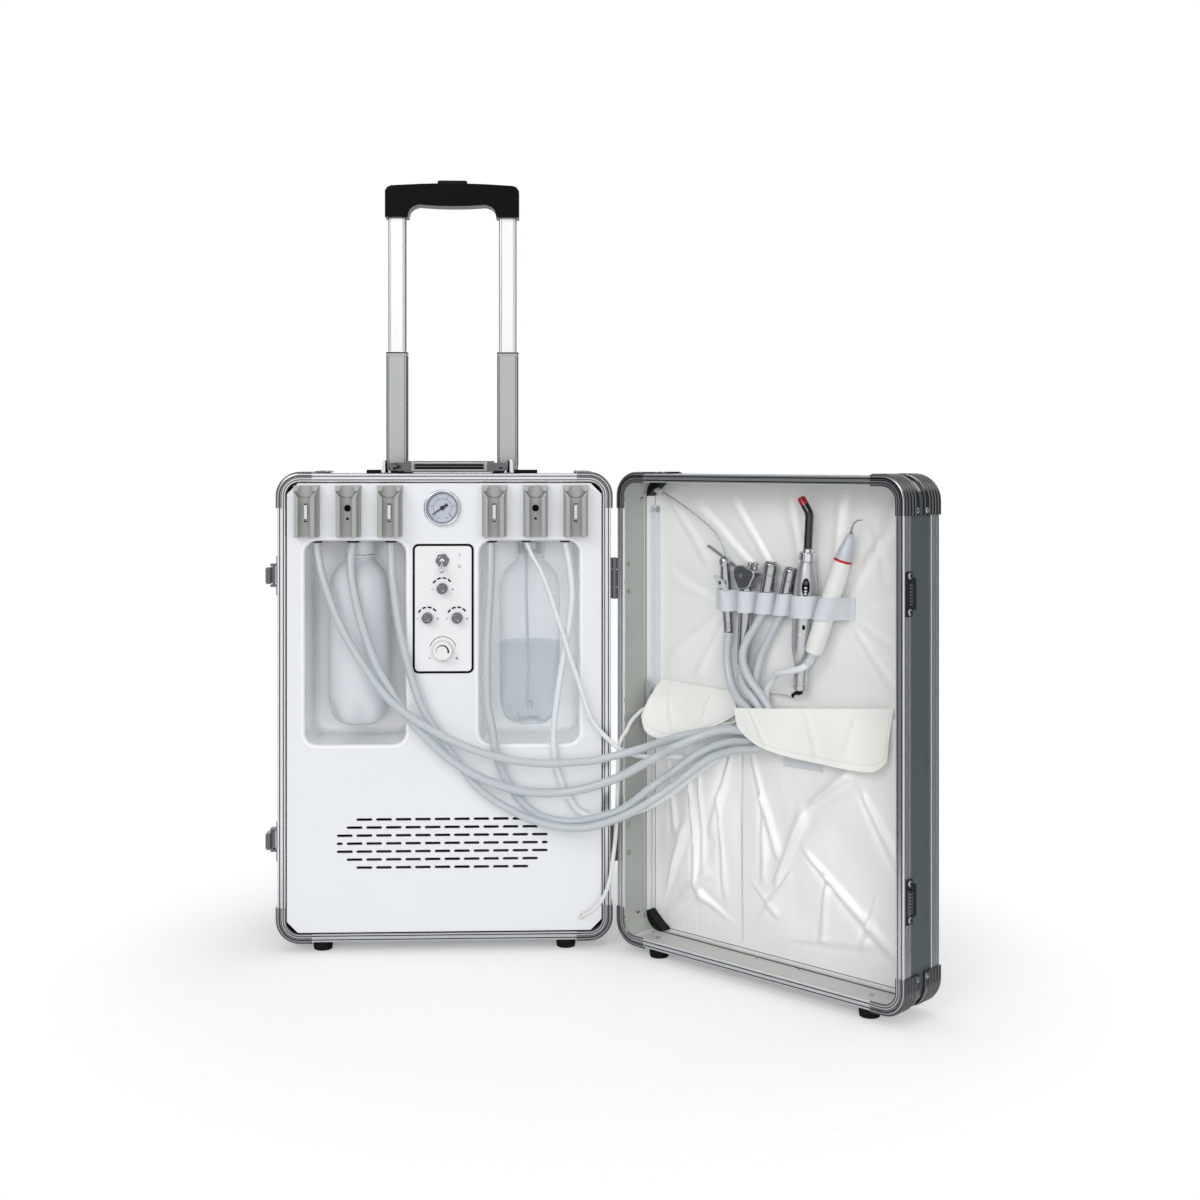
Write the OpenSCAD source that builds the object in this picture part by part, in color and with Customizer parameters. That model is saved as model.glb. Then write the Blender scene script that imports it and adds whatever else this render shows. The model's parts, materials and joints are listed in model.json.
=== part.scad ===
// Portable dental unit built into a trolley case, shown open with its handle drawn out.
// Millimetres. The part stands on z = 0, +X is to the viewer's right, +Y goes away from the viewer.
// The case is modelled from its front rim (y = 0) backwards, the lid in its own frame that starts at
// the hinge axis: u along the lid, v into its depth, z up.

/* [Case] */
// Outer width of the case and the lid
case_w = 380; // [350:1:420]
// Outer height of the case and the lid, without the feet
case_h = 535; // [505:1:580]
// Outer depth of the case body
body_d = 190; // [180:1:215]
// Outer depth of the lid
lid_d = 66; // [62:1:80]
// Thickness of the walls
wall = 4; // [3:0.5:5]
// Radius of the outer corners, seen from the front
corner_r = 24; // [18:1:30]
// Width of the edge profiles along the walls
edge_w = 14; // [10:1:18]
// How far the edge profiles stand proud of the walls
edge_t = 1.6; // [1:0.2:2.2]
// Width of the rim that the edge profile shows from the front
lip_w = 8; // [6:0.5:11]
// Length of a corner cap along each edge
cap_l = 38; // [32:1:44]
// Height of the feet
foot_h = 12; // [9:0.5:16]
// Diameter of a foot where it meets the case
foot_d = 24; // [18:1:28]

/* [Panel] */
// Width of a bottle recess
recess_w = 115; // [100:1:118]
// Height of a bottle recess
recess_h = 234; // [225:1:240]
// Depth of a bottle recess
recess_d = 82; // [80:1:100]
// Width of a handpiece holder
holder_w = 28; // [27:0.5:32]
// Height of a handpiece holder
holder_h = 58.7; // [52:0.5:62]
// How far a handpiece holder stands out of the panel
holder_d = 27; // [25:0.5:30]
// Diameter of the channel in a handpiece holder
channel_d = 17; // [15:0.5:19]
// Diameter of the pressure gauge's bezel
gauge_d = 43; // [39:0.5:50]
// Width of the control plate
plate_w = 70.7; // [66:0.5:76]
// Height of the control plate
plate_h = 149.7; // [142:0.5:155]
// Diameter of the three small knobs
knob_d = 12.6; // [10:0.2:15]
// Diameter of the scaler knob
scaler_knob_d = 23.6; // [20:0.2:26]
// Diameter of every control's shaft
shaft_d = 5; // [4:0.2:6]
// Clearance round a turning shaft, on the diameter
shaft_gap = 0.5; // [0.3:0.1:1]
// Length of a vent slot
vent_l = 18; // [14:0.5:20]
// Height of a vent slot
vent_h = 2.6; // [2:0.1:4]

/* [Bottles] */
// Diameter of a bottle
bottle_d = 72; // [64:0.5:75]
// Height of a bottle with its neck
bottle_h = 214; // [205:1:218]
// Wall of a bottle
bottle_wall = 1; // [0.8:0.1:1.6]
// Diameter of a bottle's neck
neck_d = 28; // [24:0.5:31]
// Clearance between a neck and its cap, on the diameter
neck_gap = 0.6; // [0.4:0.1:1]

/* [Trolley] */
// Distance of each pull tube from the middle of the case
tube_x = 69; // [64:0.5:74]
// Width of the middle stage's tubes
mid_w = 26; // [24:0.5:29]
// Depth of the middle stage's tubes
mid_t = 19; // [17:0.5:20]
// Width of the top stage's tubes
top_w = 21.6; // [18:0.2:22]
// Depth of the top stage's tubes
top_t = 14.6; // [12:0.2:15]
// Wall of every pull tube
tube_wall = 1.2; // [1:0.1:1.4]
// Clearance between one stage and the next, on each side
tube_gap = 0.5; // [0.3:0.1:0.8]
// Travel of the middle stage
mid_travel = 147; // [130:1:147]
// Travel of the top stage
top_travel = 166; // [150:1:166]
// Diameter of a wheel
wheel_d = 46; // [40:0.5:48]
// Width of a wheel
wheel_w = 20; // [16:0.5:24]
// Diameter of a wheel's axle
axle_d = 6; // [5:0.5:8]

/* [Tools] */
// Diameter of the suction handle
suction_d = 13; // [11:0.5:14]
// Diameter of the syringe's grip
syringe_d = 15; // [13:0.5:16]
// Diameter of the two handpiece connectors
connector_d = 16; // [14:0.5:16.5]
// Diameter of the curing light's body
light_d = 25; // [22:0.5:26]
// Diameter of the curing light's guide rod
guide_d = 9.4; // [7:0.2:10]
// Diameter of the scaler handpiece
scaler_d = 20; // [17:0.5:21]
// Height of the tool strap
strap_h = 24; // [20:0.5:28]

/* [Hidden] */
$fn = 48;
lid_open = 135;
case_x = -155;
case_y = 34;
mid_z = foot_h + case_h / 2;
top_z = foot_h + case_h;
side_x = case_w / 2;
out_x = side_x + edge_t;
rim_gap = 0.3;
lip_t = 1.2;
shell_y = rim_gap + lip_t;
cap_t = 1.4;
in_w = case_w - 2 * wall;
in_h = case_h - 2 * wall;
// hinges
barrel_r = 3.7;
hinge_off = edge_t + barrel_r + 0.3;
hinge_x = side_x + hinge_off;
hinge_l = 47;
hinge_zs = [top_z - 119, foot_h + 113.5];
pin_d = 3;
pin_gap = 0.4;
leaf_t = 1.4;
// panel layout, measured from the middle of the panel
panel_x = -2.6;
panel_y = 2;
panel_t = 3;
face_y = panel_y;
holder_z = top_z - 11.8 - holder_h;
holder_xs = [-154.6, -107.4, -59.9, 59.9, 107.2, 153.3];
rib_x = holder_w / 2 - 2.6;
lever_ids = [0, 2, 3, 5];
recess_z = top_z - 310;
recess_xs = [-100.1, 100.1];
recess_r = 14;
gauge_z = top_z - 37.8;
plate_z = top_z - 153.8;
plate_t = 0.8;
plate_y = panel_y - plate_t;
toggle_z = top_z - 98.3;
water_z = top_z - 130.3;
air_z = top_z - 164.1;
air_x = 17;
scaler_z = top_z - 201.6;
bottle_y = 45;
cap_h = 17;
cap_d = neck_d + 7;
cord_hole = [157 - panel_x, 38.3];
// trolley
tube_y = 162;
base_w = mid_w + 2 * tube_gap + 2 * tube_wall;
base_t = mid_t + 2 * tube_gap + 2 * tube_wall;
collar_h = 5;
mid_top = top_z + 151.5;
mid_len = 237;
grip_z = mid_top + 168;
top_len = 257;
base_z0 = top_z - 257;
axle_z = 28;
axle_y = body_d - 14;
wheel_xs = [-side_x + 62, side_x - 62];
carry_y = 64;
carry_z = top_z + 9;
carry_x = 68;
latch_zs = [top_z - 115.6, foot_h + 114];
latch_y = 15;
latch_x = side_x + 7.6;
latch_pin = 3.2;
// lid
lu0 = hinge_off;
lu1 = hinge_off + case_w;
lum = hinge_off + case_w / 2;
lining_v = lid_d - wall - 3.3;
tools_v = lining_v - 8.7;
// the tools, hoses and pocket keep their places against the top and the back of the lid
dz = top_z - 547;
dv = lid_d - 66;
shaft_hole = shaft_d + shaft_gap;
controls = [[0, water_z, shaft_hole], [-air_x, air_z, shaft_hole], [air_x, air_z, shaft_hole],
  [0.6, scaler_z, shaft_hole], [0, toggle_z, 11]];
hose_holes = [[-148.2, 12, 12], [-106.3, 12, 13], [-62.5, 12, 12],
  [52.9, 12, 12.5], [94, 14, 8.5], [138.7, 14, 10.5]];

// ---------- frames of reference ----------
module at_case() { translate([case_x, case_y, 0]) children(); }

module in_lid() {
  translate([case_x + hinge_x, case_y, 0]) rotate([0, 0, lid_open - 180]) children();
}

// a child along +Z is laid from a towards b
module along(a, b) {
  d = b - a;
  translate(a) rotate([0, acos(d[2] / norm(d)), atan2(d[1], d[0])]) children();
}

// a child along +Z is turned to point along -Y, out of the panel
module out_of_panel(x, z) { translate([panel_x + x, 0, z]) rotate([90, 0, 0]) children(); }

// ---------- shapes ----------
module rrect(w, h, r) {
  square([w - 2 * r, h], center = true);
  square([w, h - 2 * r], center = true);
  for (sx = [-1, 1], sz = [-1, 1]) translate([sx * (w / 2 - r), sz * (h / 2 - r)]) circle(r);
}

// a rounded plate seen from the front, from y0 back to y1
module slab(w, h, r, y0, y1, z = mid_z) {
  translate([0, y1, z]) rotate([90, 0, 0]) linear_extrude(y1 - y0) rrect(w, h, r);
}

module box(x0, x1, y0, y1, z0, z1) {
  translate([x0, y0, z0]) cube([x1 - x0, y1 - y0, z1 - z0]);
}

// a stepped or tapered round bar from a list of [z, radius]
module lathe(p) { rotate_extrude() polygon(concat([[0, p[0][0]]], [for (q = p) [q[1], q[0]]],
  [[0, p[len(p) - 1][0]]])); }

// a rectangular tube with small rounded corners
module tube2d(w, t, s) {
  difference() {
    rrect(w, t, 3);
    rrect(w - 2 * s, t - 2 * s, 3 - s);
  }
}

// ---------- swept tubes and cloth ----------
function unit(v) = v / norm(v);
function spline(p, n) = [for (i = [0:len(p) - 2], k = [0:n - 1])
  let (t = k / n, a = p[max(i - 1, 0)], b = p[i], c = p[i + 1], d = p[min(i + 2, len(p) - 1)])
  0.5 * (2 * b + (c - a) * t + (2 * a - 5 * b + 4 * c - d) * t * t
    + (3 * b - 3 * c + d - a) * t * t * t), p[len(p) - 1]];

// a round tube of n sides swept along the points q, side is a direction that no stretch follows
module sweep(q, d, n = 8, side = [0, 1, 0]) {
  m = len(q);
  pts = [for (i = [0:m - 1])
    let (t = unit(q[min(i + 1, m - 1)] - q[max(i - 1, 0)]),
      b = unit(cross(t, side)), c = cross(b, t))
    for (k = [0:n - 1]) q[i] + d / 2 * (b * cos(360 * k / n) + c * sin(360 * k / n))];
  faces = concat([[for (k = [0:n - 1]) k]], [[for (k = [n - 1:-1:0]) (m - 1) * n + k]],
    [for (i = [0:m - 2], k = [0:n - 1]) let (a = i * n + k, b = i * n + (k + 1) % n)
      each [[a, a + n, b], [b, a + n, b + n]]]);
  polyhedron(pts, faces, convexity = 8);
}

// a sheet of thickness t behind a grid of points g[row][column], rows going down; an upright band is
// given its thickness across its own line
module cloth(g, t, band = false) {
  r = len(g);
  c = len(g[0]);
  pts = concat([for (a = g) each a], [for (a = g) each [for (j = [0:c - 1])
    let (d = unit(a[min(j + 1, c - 1)] - a[max(j - 1, 0)]))
      a[j] + t * (band ? [-d[1], d[0], 0] : [0, 1, 0])]]);
  k = r * c;
  edge = concat([for (j = [0:c - 2]) [j, j + 1]],
    [for (i = [0:r - 2]) [i * c + c - 1, (i + 1) * c + c - 1]],
    [for (j = [c - 1:-1:1]) [(r - 1) * c + j, (r - 1) * c + j - 1]],
    [for (i = [r - 1:-1:1]) [i * c, (i - 1) * c]]);
  faces = concat(
    [for (i = [0:r - 2], j = [0:c - 2]) let (a = i * c + j)
      each [[a, a + c, a + 1], [a + 1, a + c, a + c + 1],
        [a + k, a + 1 + k, a + c + k], [a + 1 + k, a + c + 1 + k, a + c + k]]],
    [for (e = edge) each [[e[0], e[1], e[0] + k], [e[1], e[1] + k, e[0] + k]]]);
  polyhedron(pts, faces, convexity = 8);
}

// ---------- case body ----------
module wheel_bay(g = 0) {
  for (x = wheel_xs)
    box(x - wheel_w / 2 - 5 - g, x + wheel_w / 2 + 5 + g, axle_y - wheel_d / 2 - 5 - g, body_d + 9,
      foot_h - 9, axle_z + wheel_d / 2 + 5 + g);
}

module case_shell() at_case() color([0.36, 0.39, 0.4]) difference() {
  slab(case_w, case_h, corner_r, shell_y, body_d);
  slab(in_w, in_h, corner_r - wall, -1, body_d - wall);
  for (s = [-1, 1]) translate([s * tube_x, tube_y, top_z - wall - 1]) linear_extrude(wall + 2)
    rrect(base_w, base_t, 3);
  wheel_bay();
  box(-side_x - 1, -side_x + wall + 1, 50, 78, 50, 70);
  translate([-side_x - 1, 100, 60]) rotate([0, 90, 0]) cylinder(d = 12, h = wall + 2);
}

module cap_arms() {
  for (sx = [-1, 1], sz = [-1, 1]) translate([sx * side_x, 0, mid_z + sz * case_h / 2])
    box(-cap_l, cap_l, -1, 400, -cap_l, cap_l);
}

module edge_ring(y0, y1, t) {
  difference() {
    slab(case_w + 2 * t, case_h + 2 * t, corner_r + t, y0, y1);
    slab(case_w, case_h, corner_r, y0 - 1, y1 + 1);
  }
}

// edge profile and corner caps of one rim: the rim at y = rim_gap, the walls behind it
module rim_frame() {
  edge_ring(shell_y, edge_w, edge_t);
  difference() {
    slab(case_w + 2 * edge_t, case_h + 2 * edge_t, corner_r + edge_t, rim_gap, shell_y);
    slab(case_w - 2 * lip_w, case_h - 2 * lip_w, corner_r - lip_w, -1, 20);
  }
  intersection() {
    cap_arms();
    union() {
      edge_ring(rim_gap, edge_w + 14, edge_t + cap_t);
      for (y = [3, 8.5, 14, 19.5]) edge_ring(y, y + 2.5, edge_t + cap_t + 0.8);
    }
  }
}

// edge profile and corner caps round the closed end, which ends at y = e
module end_frame(e) {
  edge_ring(e - edge_w, e, edge_t);
  difference() {
    slab(case_w + 2 * edge_t, case_h + 2 * edge_t, corner_r + edge_t, e, e + edge_t);
    slab(case_w - 2 * edge_w, case_h - 2 * edge_w, corner_r - edge_w + 2, e - 1, e + 9);
  }
  intersection() {
    cap_arms();
    union() {
      edge_ring(e - edge_w - 14, e + edge_t, edge_t + cap_t);
      for (y = [-20, -14.5, -9, -3.5]) edge_ring(e + y, e + y + 2.5, edge_t + cap_t + 0.8);
      difference() {
        slab(case_w + 2 * edge_t, case_h + 2 * edge_t, corner_r + edge_t, e, e + edge_t + cap_t);
        slab(case_w - 34, case_h - 34, corner_r - 12, e - 1, e + 9);
      }
    }
  }
}

// domed rivet heads at both ends of each corner cap
module cap_rivets(y) {
  t = edge_t + cap_t;
  for (sx = [-1, 1], sz = [-1, 1]) {
    translate([sx * (side_x + t), y, mid_z + sz * (case_h / 2 - cap_l + 5)]) rotate([0, sx * 90, 0])
      cylinder(d1 = 5.6, d2 = 3, h = 1.2);
    translate([sx * (side_x - cap_l + 5), y, mid_z + sz * (case_h / 2 + t)])
      rotate([sz > 0 ? 0 : 180, 0, 0]) cylinder(d1 = 5.6, d2 = 3, h = 1.2);
  }
}

module case_frames() at_case() color([0.8, 0.81, 0.82]) difference() {
  union() {
    rim_frame();
    end_frame(body_d);
    cap_rivets(24);
    cap_rivets(body_d - 24);
  }
  wheel_bay();
  for (p = case_foot_at) translate([p[0], p[1], -1]) cylinder(d = foot_d + 0.4, h = foot_h + 1);
}

module recess_block(g) {
  for (x = recess_xs) translate([panel_x + x, 0, 0])
    slab(recess_w + 2 * g, recess_h + 2 * g, recess_r + g, panel_y + (g > 0 ? 0 : -1),
      recess_d + g, recess_z + recess_h / 2);
}

module vents() {
  for (r = [0:6]) {
    n = 12 - abs(r - 3);
    for (i = [0:n - 1]) {
      half = r == 3 && (i == 0 || i == n - 1);
      l = vent_l * (half ? 0.36 : 1);
      // the short slots end in line with the rows above and below
      x = panel_x + (i - (n - 1) / 2) * 22.4 + (half ? (i == 0 ? 1 : -1) * (11.2 - 0.32 * vent_l) : 0);
      box(x - l / 2, x + l / 2, panel_y - 1, panel_y + 9, 123 - (r - 3) * 9.2 - vent_h / 2,
        123 - (r - 3) * 9.2 + vent_h / 2);
    }
  }
}

module front_panel() at_case() color([0.95, 0.96, 0.97]) difference() {
  union() {
    slab(in_w - 1, in_h - 1, corner_r - wall - 1, panel_y, panel_y + panel_t);
    recess_block(2.5);
  }
  recess_block(0);
  vents();
  for (h = hose_holes) translate([h[0], h[1], recess_z + recess_h - 8]) cylinder(d = h[2], h = 13);
  out_of_panel(0, gauge_z) translate([0, 0, -9]) cylinder(d = gauge_d - 4, h = 9);
  for (c = controls) out_of_panel(c[0], c[1]) translate([0, 0, -9]) cylinder(d = c[2], h = 9);
  out_of_panel(cord_hole[0], cord_hole[1]) translate([0, 0, -9]) cylinder(d = 7, h = 9);
  for (sx = [-1, 1], sz = [-1, 1]) translate([sx * side_x, -1, mid_z + sz * case_h / 2])
    rotate([0, 45, 0]) box(-22, 22, 0, 8, -22, 22);
}

// ---------- panel ----------
module handpiece_holders() at_case() color([0.66, 0.67, 0.66]) for (i = [0:5])
  translate([panel_x + holder_xs[i], panel_y, holder_z]) difference() {
    box(-holder_w / 2, holder_w / 2, -holder_d, 0, 0, holder_h);
    // the front of the top slopes back, and below it the sides step in to a narrower channel
    translate([-30, 0, holder_h]) rotate([90, 0, 90]) linear_extrude(60)
      polygon([[-holder_d - 1, 1], [-12, 1], [-13, 0], [-holder_d, -12], [-holder_d - 1, -12]]);
    for (s = [-1, 1]) translate([0, -9, 0]) rotate([90, 0, 0]) linear_extrude(holder_d)
      polygon([[s * rib_x, -1], [s * rib_x, holder_h - 12], [s * (holder_w / 2 + 0.5), holder_h + 0.5],
        [s * 30, holder_h], [s * 30, -1]]);
    translate([0, -holder_d + 7, -1]) cylinder(d = channel_d, h = holder_h + 2);
    translate([0, -holder_d + 7, holder_h - 20]) cylinder(d = channel_d + 0.4, h = 21);
    box(-channel_d / 2 + 1.5, channel_d / 2 - 1.5, -holder_d - 1, -holder_d + 5, -1, holder_h + 1);
    // the seat: a cone that opens on the slope
    translate([0, -23, holder_h - 8.6]) rotate([139.4, 0, 0]) translate([0, 0, -4])
      cylinder(r1 = 13.4, r2 = 0.8, h = 21);
    if (i == 1 || i == 4) {
      translate([0, 1, holder_h - 26]) rotate([90, 0, 0]) cylinder(d = 8, h = holder_d);
      translate([0, 1, holder_h - 38]) rotate([90, 0, 0]) cylinder(d = 3.2, h = holder_d);
    } else {
      box(-2.2, 2.2, -holder_d + 2, 1, 17, 38);
      translate([-4.2, -5, 19]) rotate([0, 90, 0]) cylinder(d = 2.4, h = 8.4);
    }
  }

// a sprung lever in a holder's slot, pressed back by the tool that hangs there
module holder_lever(i) at_case() color([0.85, 0.86, 0.87])
  translate([panel_x + holder_xs[i], panel_y, holder_z]) {
    box(-1.8, 1.8, -holder_d + channel_d / 2 + 3.5, -4, 20.6, 36.5);
    translate([-4, -5, 19]) rotate([0, 90, 0]) cylinder(d = 2, h = 8);
    box(-1.8, 1.8, -6, -4, 18.2, 20.6);
  }
module lever_1() { holder_lever(0); }
module lever_3() { holder_lever(2); }
module lever_4() { holder_lever(3); }
module lever_6() { holder_lever(5); }

module gauge_case() at_case() color([0.82, 0.83, 0.84]) out_of_panel(0, gauge_z) difference() {
  lathe([[-34, 7], [-34, gauge_d / 2 - 3], [-panel_y, gauge_d / 2 - 3], [-panel_y, gauge_d / 2],
    [1, gauge_d / 2], [3.4, gauge_d / 2 - 1], [3.9, gauge_d / 2 - 2.2], [3.4, gauge_d / 2 - 3.2],
    [-2.2, gauge_d / 2 - 3.4]]);
  translate([0, 0, -2.2]) cylinder(d = gauge_d - 6.8, h = 9);
  translate([0, 0, -35]) cylinder(d = 3, h = 40);
}

module gauge_dial() at_case() color([0.97, 0.97, 0.96]) out_of_panel(0, gauge_z) difference() {
  translate([0, 0, -2.2]) cylinder(d = gauge_d - 6.8, h = 1);
  translate([0, 0, -3]) cylinder(d = 2.4, h = 3);
}

module gauge_needle() at_case() color([0.05, 0.05, 0.05]) out_of_panel(0, gauge_z) {
  translate([0, 0, -12]) cylinder(d = 1.6, h = 12.8);
  translate([0, 0, -0.8]) cylinder(d = 5, h = 1.2);
  rotate([0, 0, 214]) translate([0, 0, -0.6]) linear_extrude(0.6)
    polygon([[0, -0.9], [gauge_d / 2 - 8, -0.3], [gauge_d / 2 - 8, 0.3], [0, 0.9], [-7, 1.6],
      [-7, -1.6]]);
}

module control_plate() at_case() color([0.96, 0.97, 0.98]) difference() {
  translate([panel_x + 0.9, 0, 0])
    slab(plate_w, plate_h, 7, plate_y, panel_y, plate_z);
  for (c = controls) out_of_panel(c[0], c[1]) translate([0, 0, -9]) cylinder(d = c[2], h = 9);
}

// valve and switch bodies behind the panel, and the switch's hex nut and bush in front of it
module control_fittings() at_case() color([0.75, 0.76, 0.77]) {
  back = -panel_y - panel_t;
  for (c = controls) if (c[2] < 10) out_of_panel(c[0], c[1]) translate([0, 0, back - 16])
    difference() {
      cylinder(d = 14, h = 16);
      translate([0, 0, 3]) cylinder(d = shaft_d + shaft_gap, h = 14);
    }
  out_of_panel(0, toggle_z) difference() {
    union() {
      translate([0, 0, back - 14]) box(-7, 7, -10, 10, 0, 14);
      translate([0, 0, back]) cylinder(d = 11, h = 8.2);
      translate([0, 0, -plate_y]) cylinder(d = 14.7, h = 3, $fn = 6);
    }
    translate([0, 0, back - 1]) cylinder(d = 8.6, h = 12 - back);
    translate([0, 0, 0.5]) cylinder(d1 = 8.6, d2 = 10, h = 2.8);
  }
}

module toggle_lever() at_case() color([0.85, 0.86, 0.87])
  translate([panel_x, -0.5, toggle_z]) {
    sphere(r = 4, $fn = 32);
    rotate([90 + 34, 0, 0]) lathe([[2, 1.7], [9, 1.9], [17, 2.9], [20, 2.9], [21, 2.2]]);
  }

// a knob with a grip ring, a pointer dot and its shaft
module knob(x, z, d, l, c, grips) at_case() color(c) out_of_panel(x, z) {
  difference() {
    lathe([[-plate_y + 0.4, d / 2], [l - 2.2, d / 2 - 0.2], [l - 0.6, d / 2 - 1.2], [l, d / 2 - 2.4]]);
    for (i = [0:grips - 1]) rotate([0, 0, 360 / grips * i]) translate([d / 2 + 0.3, 0, 0])
      cylinder(d = 1.2, h = l - 2.6, $fn = 12);
    translate([0, -d / 2 + 2.6, l - 0.5]) cylinder(d = 1.2, h = 2);
  }
  translate([0, 0, -panel_y - panel_t - 12]) cylinder(d = shaft_d, h = panel_t + 14);
}
module water_knob() { knob(0, water_z, knob_d, 12, [0.62, 0.63, 0.64], 18); }
module air_knob_left() { knob(-air_x, air_z, knob_d, 12, [0.62, 0.63, 0.64], 18); }
module air_knob_right() { knob(air_x, air_z, knob_d, 12, [0.62, 0.63, 0.64], 18); }
module scaler_knob() { knob(0.6, scaler_z, scaler_knob_d, 13, [0.95, 0.95, 0.95], 24); }

// ---------- bottles ----------
module at_bottle(i) { translate([panel_x + recess_xs[i], bottle_y, recess_z + recess_h]) children(); }

module bottle_caps() at_case() color([0.86, 0.9, 0.92]) for (i = [0, 1]) at_bottle(i) difference() {
  translate([0, 0, -cap_h]) cylinder(d = cap_d, h = cap_h);
  translate([0, 0, -cap_h - 1]) cylinder(d = neck_d + neck_gap, h = cap_h - 2);
}

// the outside and the inside of a bottle that hangs by its neck
br = bottle_d / 2;
nr = neck_d / 2;
bottle_out = [[-3.5, nr], [-cap_h - 1.2, nr], [-cap_h - 1.2, nr + 3.4], [-cap_h - 3.6, nr + 3.4],
  [-cap_h - 5, nr + 1], [-cap_h - 9, nr + 5], [-cap_h - 17, br - 9], [-cap_h - 28, br - 2.5],
  [-cap_h - 41, br], [-bottle_h + 24, br], [-bottle_h + 8, br - 4], [-bottle_h - 3.5, br - 13]];
bottle_in = [[-2, nr - bottle_wall], [-cap_h - 6, nr - bottle_wall], [-cap_h - 10, nr + 4 - bottle_wall],
  [-cap_h - 18, br - 9.6 - bottle_wall], [-cap_h - 29, br - 2.8 - bottle_wall],
  [-cap_h - 41, br - bottle_wall], [-bottle_h + 24, br - bottle_wall],
  [-bottle_h + 8.5, br - 4.2 - bottle_wall], [-bottle_h - 3.5 + 1.2, br - 13.4 - bottle_wall / 2]];

module bottle(i, c) at_case() color(c) at_bottle(i) difference() {
  lathe(bottle_out);
  lathe(bottle_in);
}
module waste_bottle() { bottle(0, [0.93, 0.95, 0.96, 0.9]); }
module water_bottle() { bottle(1, [0.8, 0.9, 0.93, 0.5]); }

// ---------- inside the case ----------
module air_supply() at_case() color([0.3, 0.32, 0.34]) {
  z = foot_h + wall;
  y = body_d / 2;
  pump_x = -side_x + 40;
  tank_x = side_x - 30;
  translate([pump_x, y, z + 62]) rotate([0, 90, 0]) cylinder(d = 92, h = -30 - pump_x);
  for (x = [pump_x + 10, -60]) box(x, x + 16, y - 40, y + 40, z, z + 24);
  for (x = [pump_x - 10, -30]) translate([x, y, z + 62]) rotate([0, 90, 0]) cylinder(d = 60, h = 10);
  translate([20, y, z + 68]) rotate([0, 90, 0]) cylinder(d = 104, h = tank_x - 20);
  for (x = [34, tank_x - 26]) box(x, x + 12, y - 35, y + 35, z, z + 26);
  translate([-20, y, z + 62]) rotate([0, 90, 0]) cylinder(d = 10, h = 40);
}

case_foot_at = [for (x = [-side_x + 49.2, side_x - 50.2], y = [14, body_d - 62]) [x, y]];
module case_feet() at_case() color([0.06, 0.06, 0.06]) {
  for (p = case_foot_at) translate([p[0], p[1], 0]) cylinder(d1 = foot_d - 3, d2 = foot_d, h = foot_h);
  for (x = wheel_xs) difference() {
    box(x - wheel_w / 2 - 5, x + wheel_w / 2 + 5, axle_y - wheel_d / 2 - 5, body_d + 2,
      foot_h, axle_z + wheel_d / 2 + 5);
    box(x - wheel_w / 2 - 1.5, x + wheel_w / 2 + 1.5, axle_y - wheel_d / 2 - 2, body_d + 30,
      foot_h - 9, axle_z + wheel_d / 2 + 2);
    translate([x - wheel_w / 2 - 9, axle_y, axle_z]) rotate([0, 90, 0])
      cylinder(d = axle_d, h = wheel_w + 18);
  }
}

module wheel(x) at_case() color([0.12, 0.12, 0.12]) translate([x, axle_y, axle_z])
  rotate([0, 90, 0]) {
    difference() {
      translate([0, 0, -wheel_w / 2]) lathe([[0, wheel_d / 2 - 2], [2, wheel_d / 2],
        [wheel_w - 2, wheel_d / 2], [wheel_w, wheel_d / 2 - 2]]);
      for (s = [-1, 1]) translate([0, 0, s * wheel_w / 2]) cylinder(d = wheel_d - 14, h = 6, center = true);
    }
    translate([0, 0, -wheel_w / 2 - 4.6]) cylinder(d = axle_d - shaft_gap, h = wheel_w + 9.2);
  }
module wheel_left() { wheel(wheel_xs[0]); }
module wheel_right() { wheel(wheel_xs[1]); }

module side_ports() at_case() color([0.08, 0.08, 0.08]) {
  difference() {
    union() {
      box(-side_x - 5, -side_x, 46, 82, 46, 74);
      box(-side_x, -side_x + wall + 14, 50, 78, 50, 70);
    }
    box(-side_x - 6, -side_x + 12, 52, 76, 52, 68);
  }
  translate([-side_x, 100, 60]) rotate([0, -90, 0]) difference() {
    union() {
      cylinder(d = 18, h = 3);
      cylinder(d = 13, h = 12);
      translate([0, 0, -wall - 8]) cylinder(d = 12, h = wall + 8);
    }
    translate([0, 0, -6]) cylinder(d = 6, h = 30);
  }
}

// ---------- hardware on the case body ----------
module knuckle(z0, z1) {
  translate([0, 0, z0]) cylinder(r = barrel_r, h = z1 - z0);
}

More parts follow.
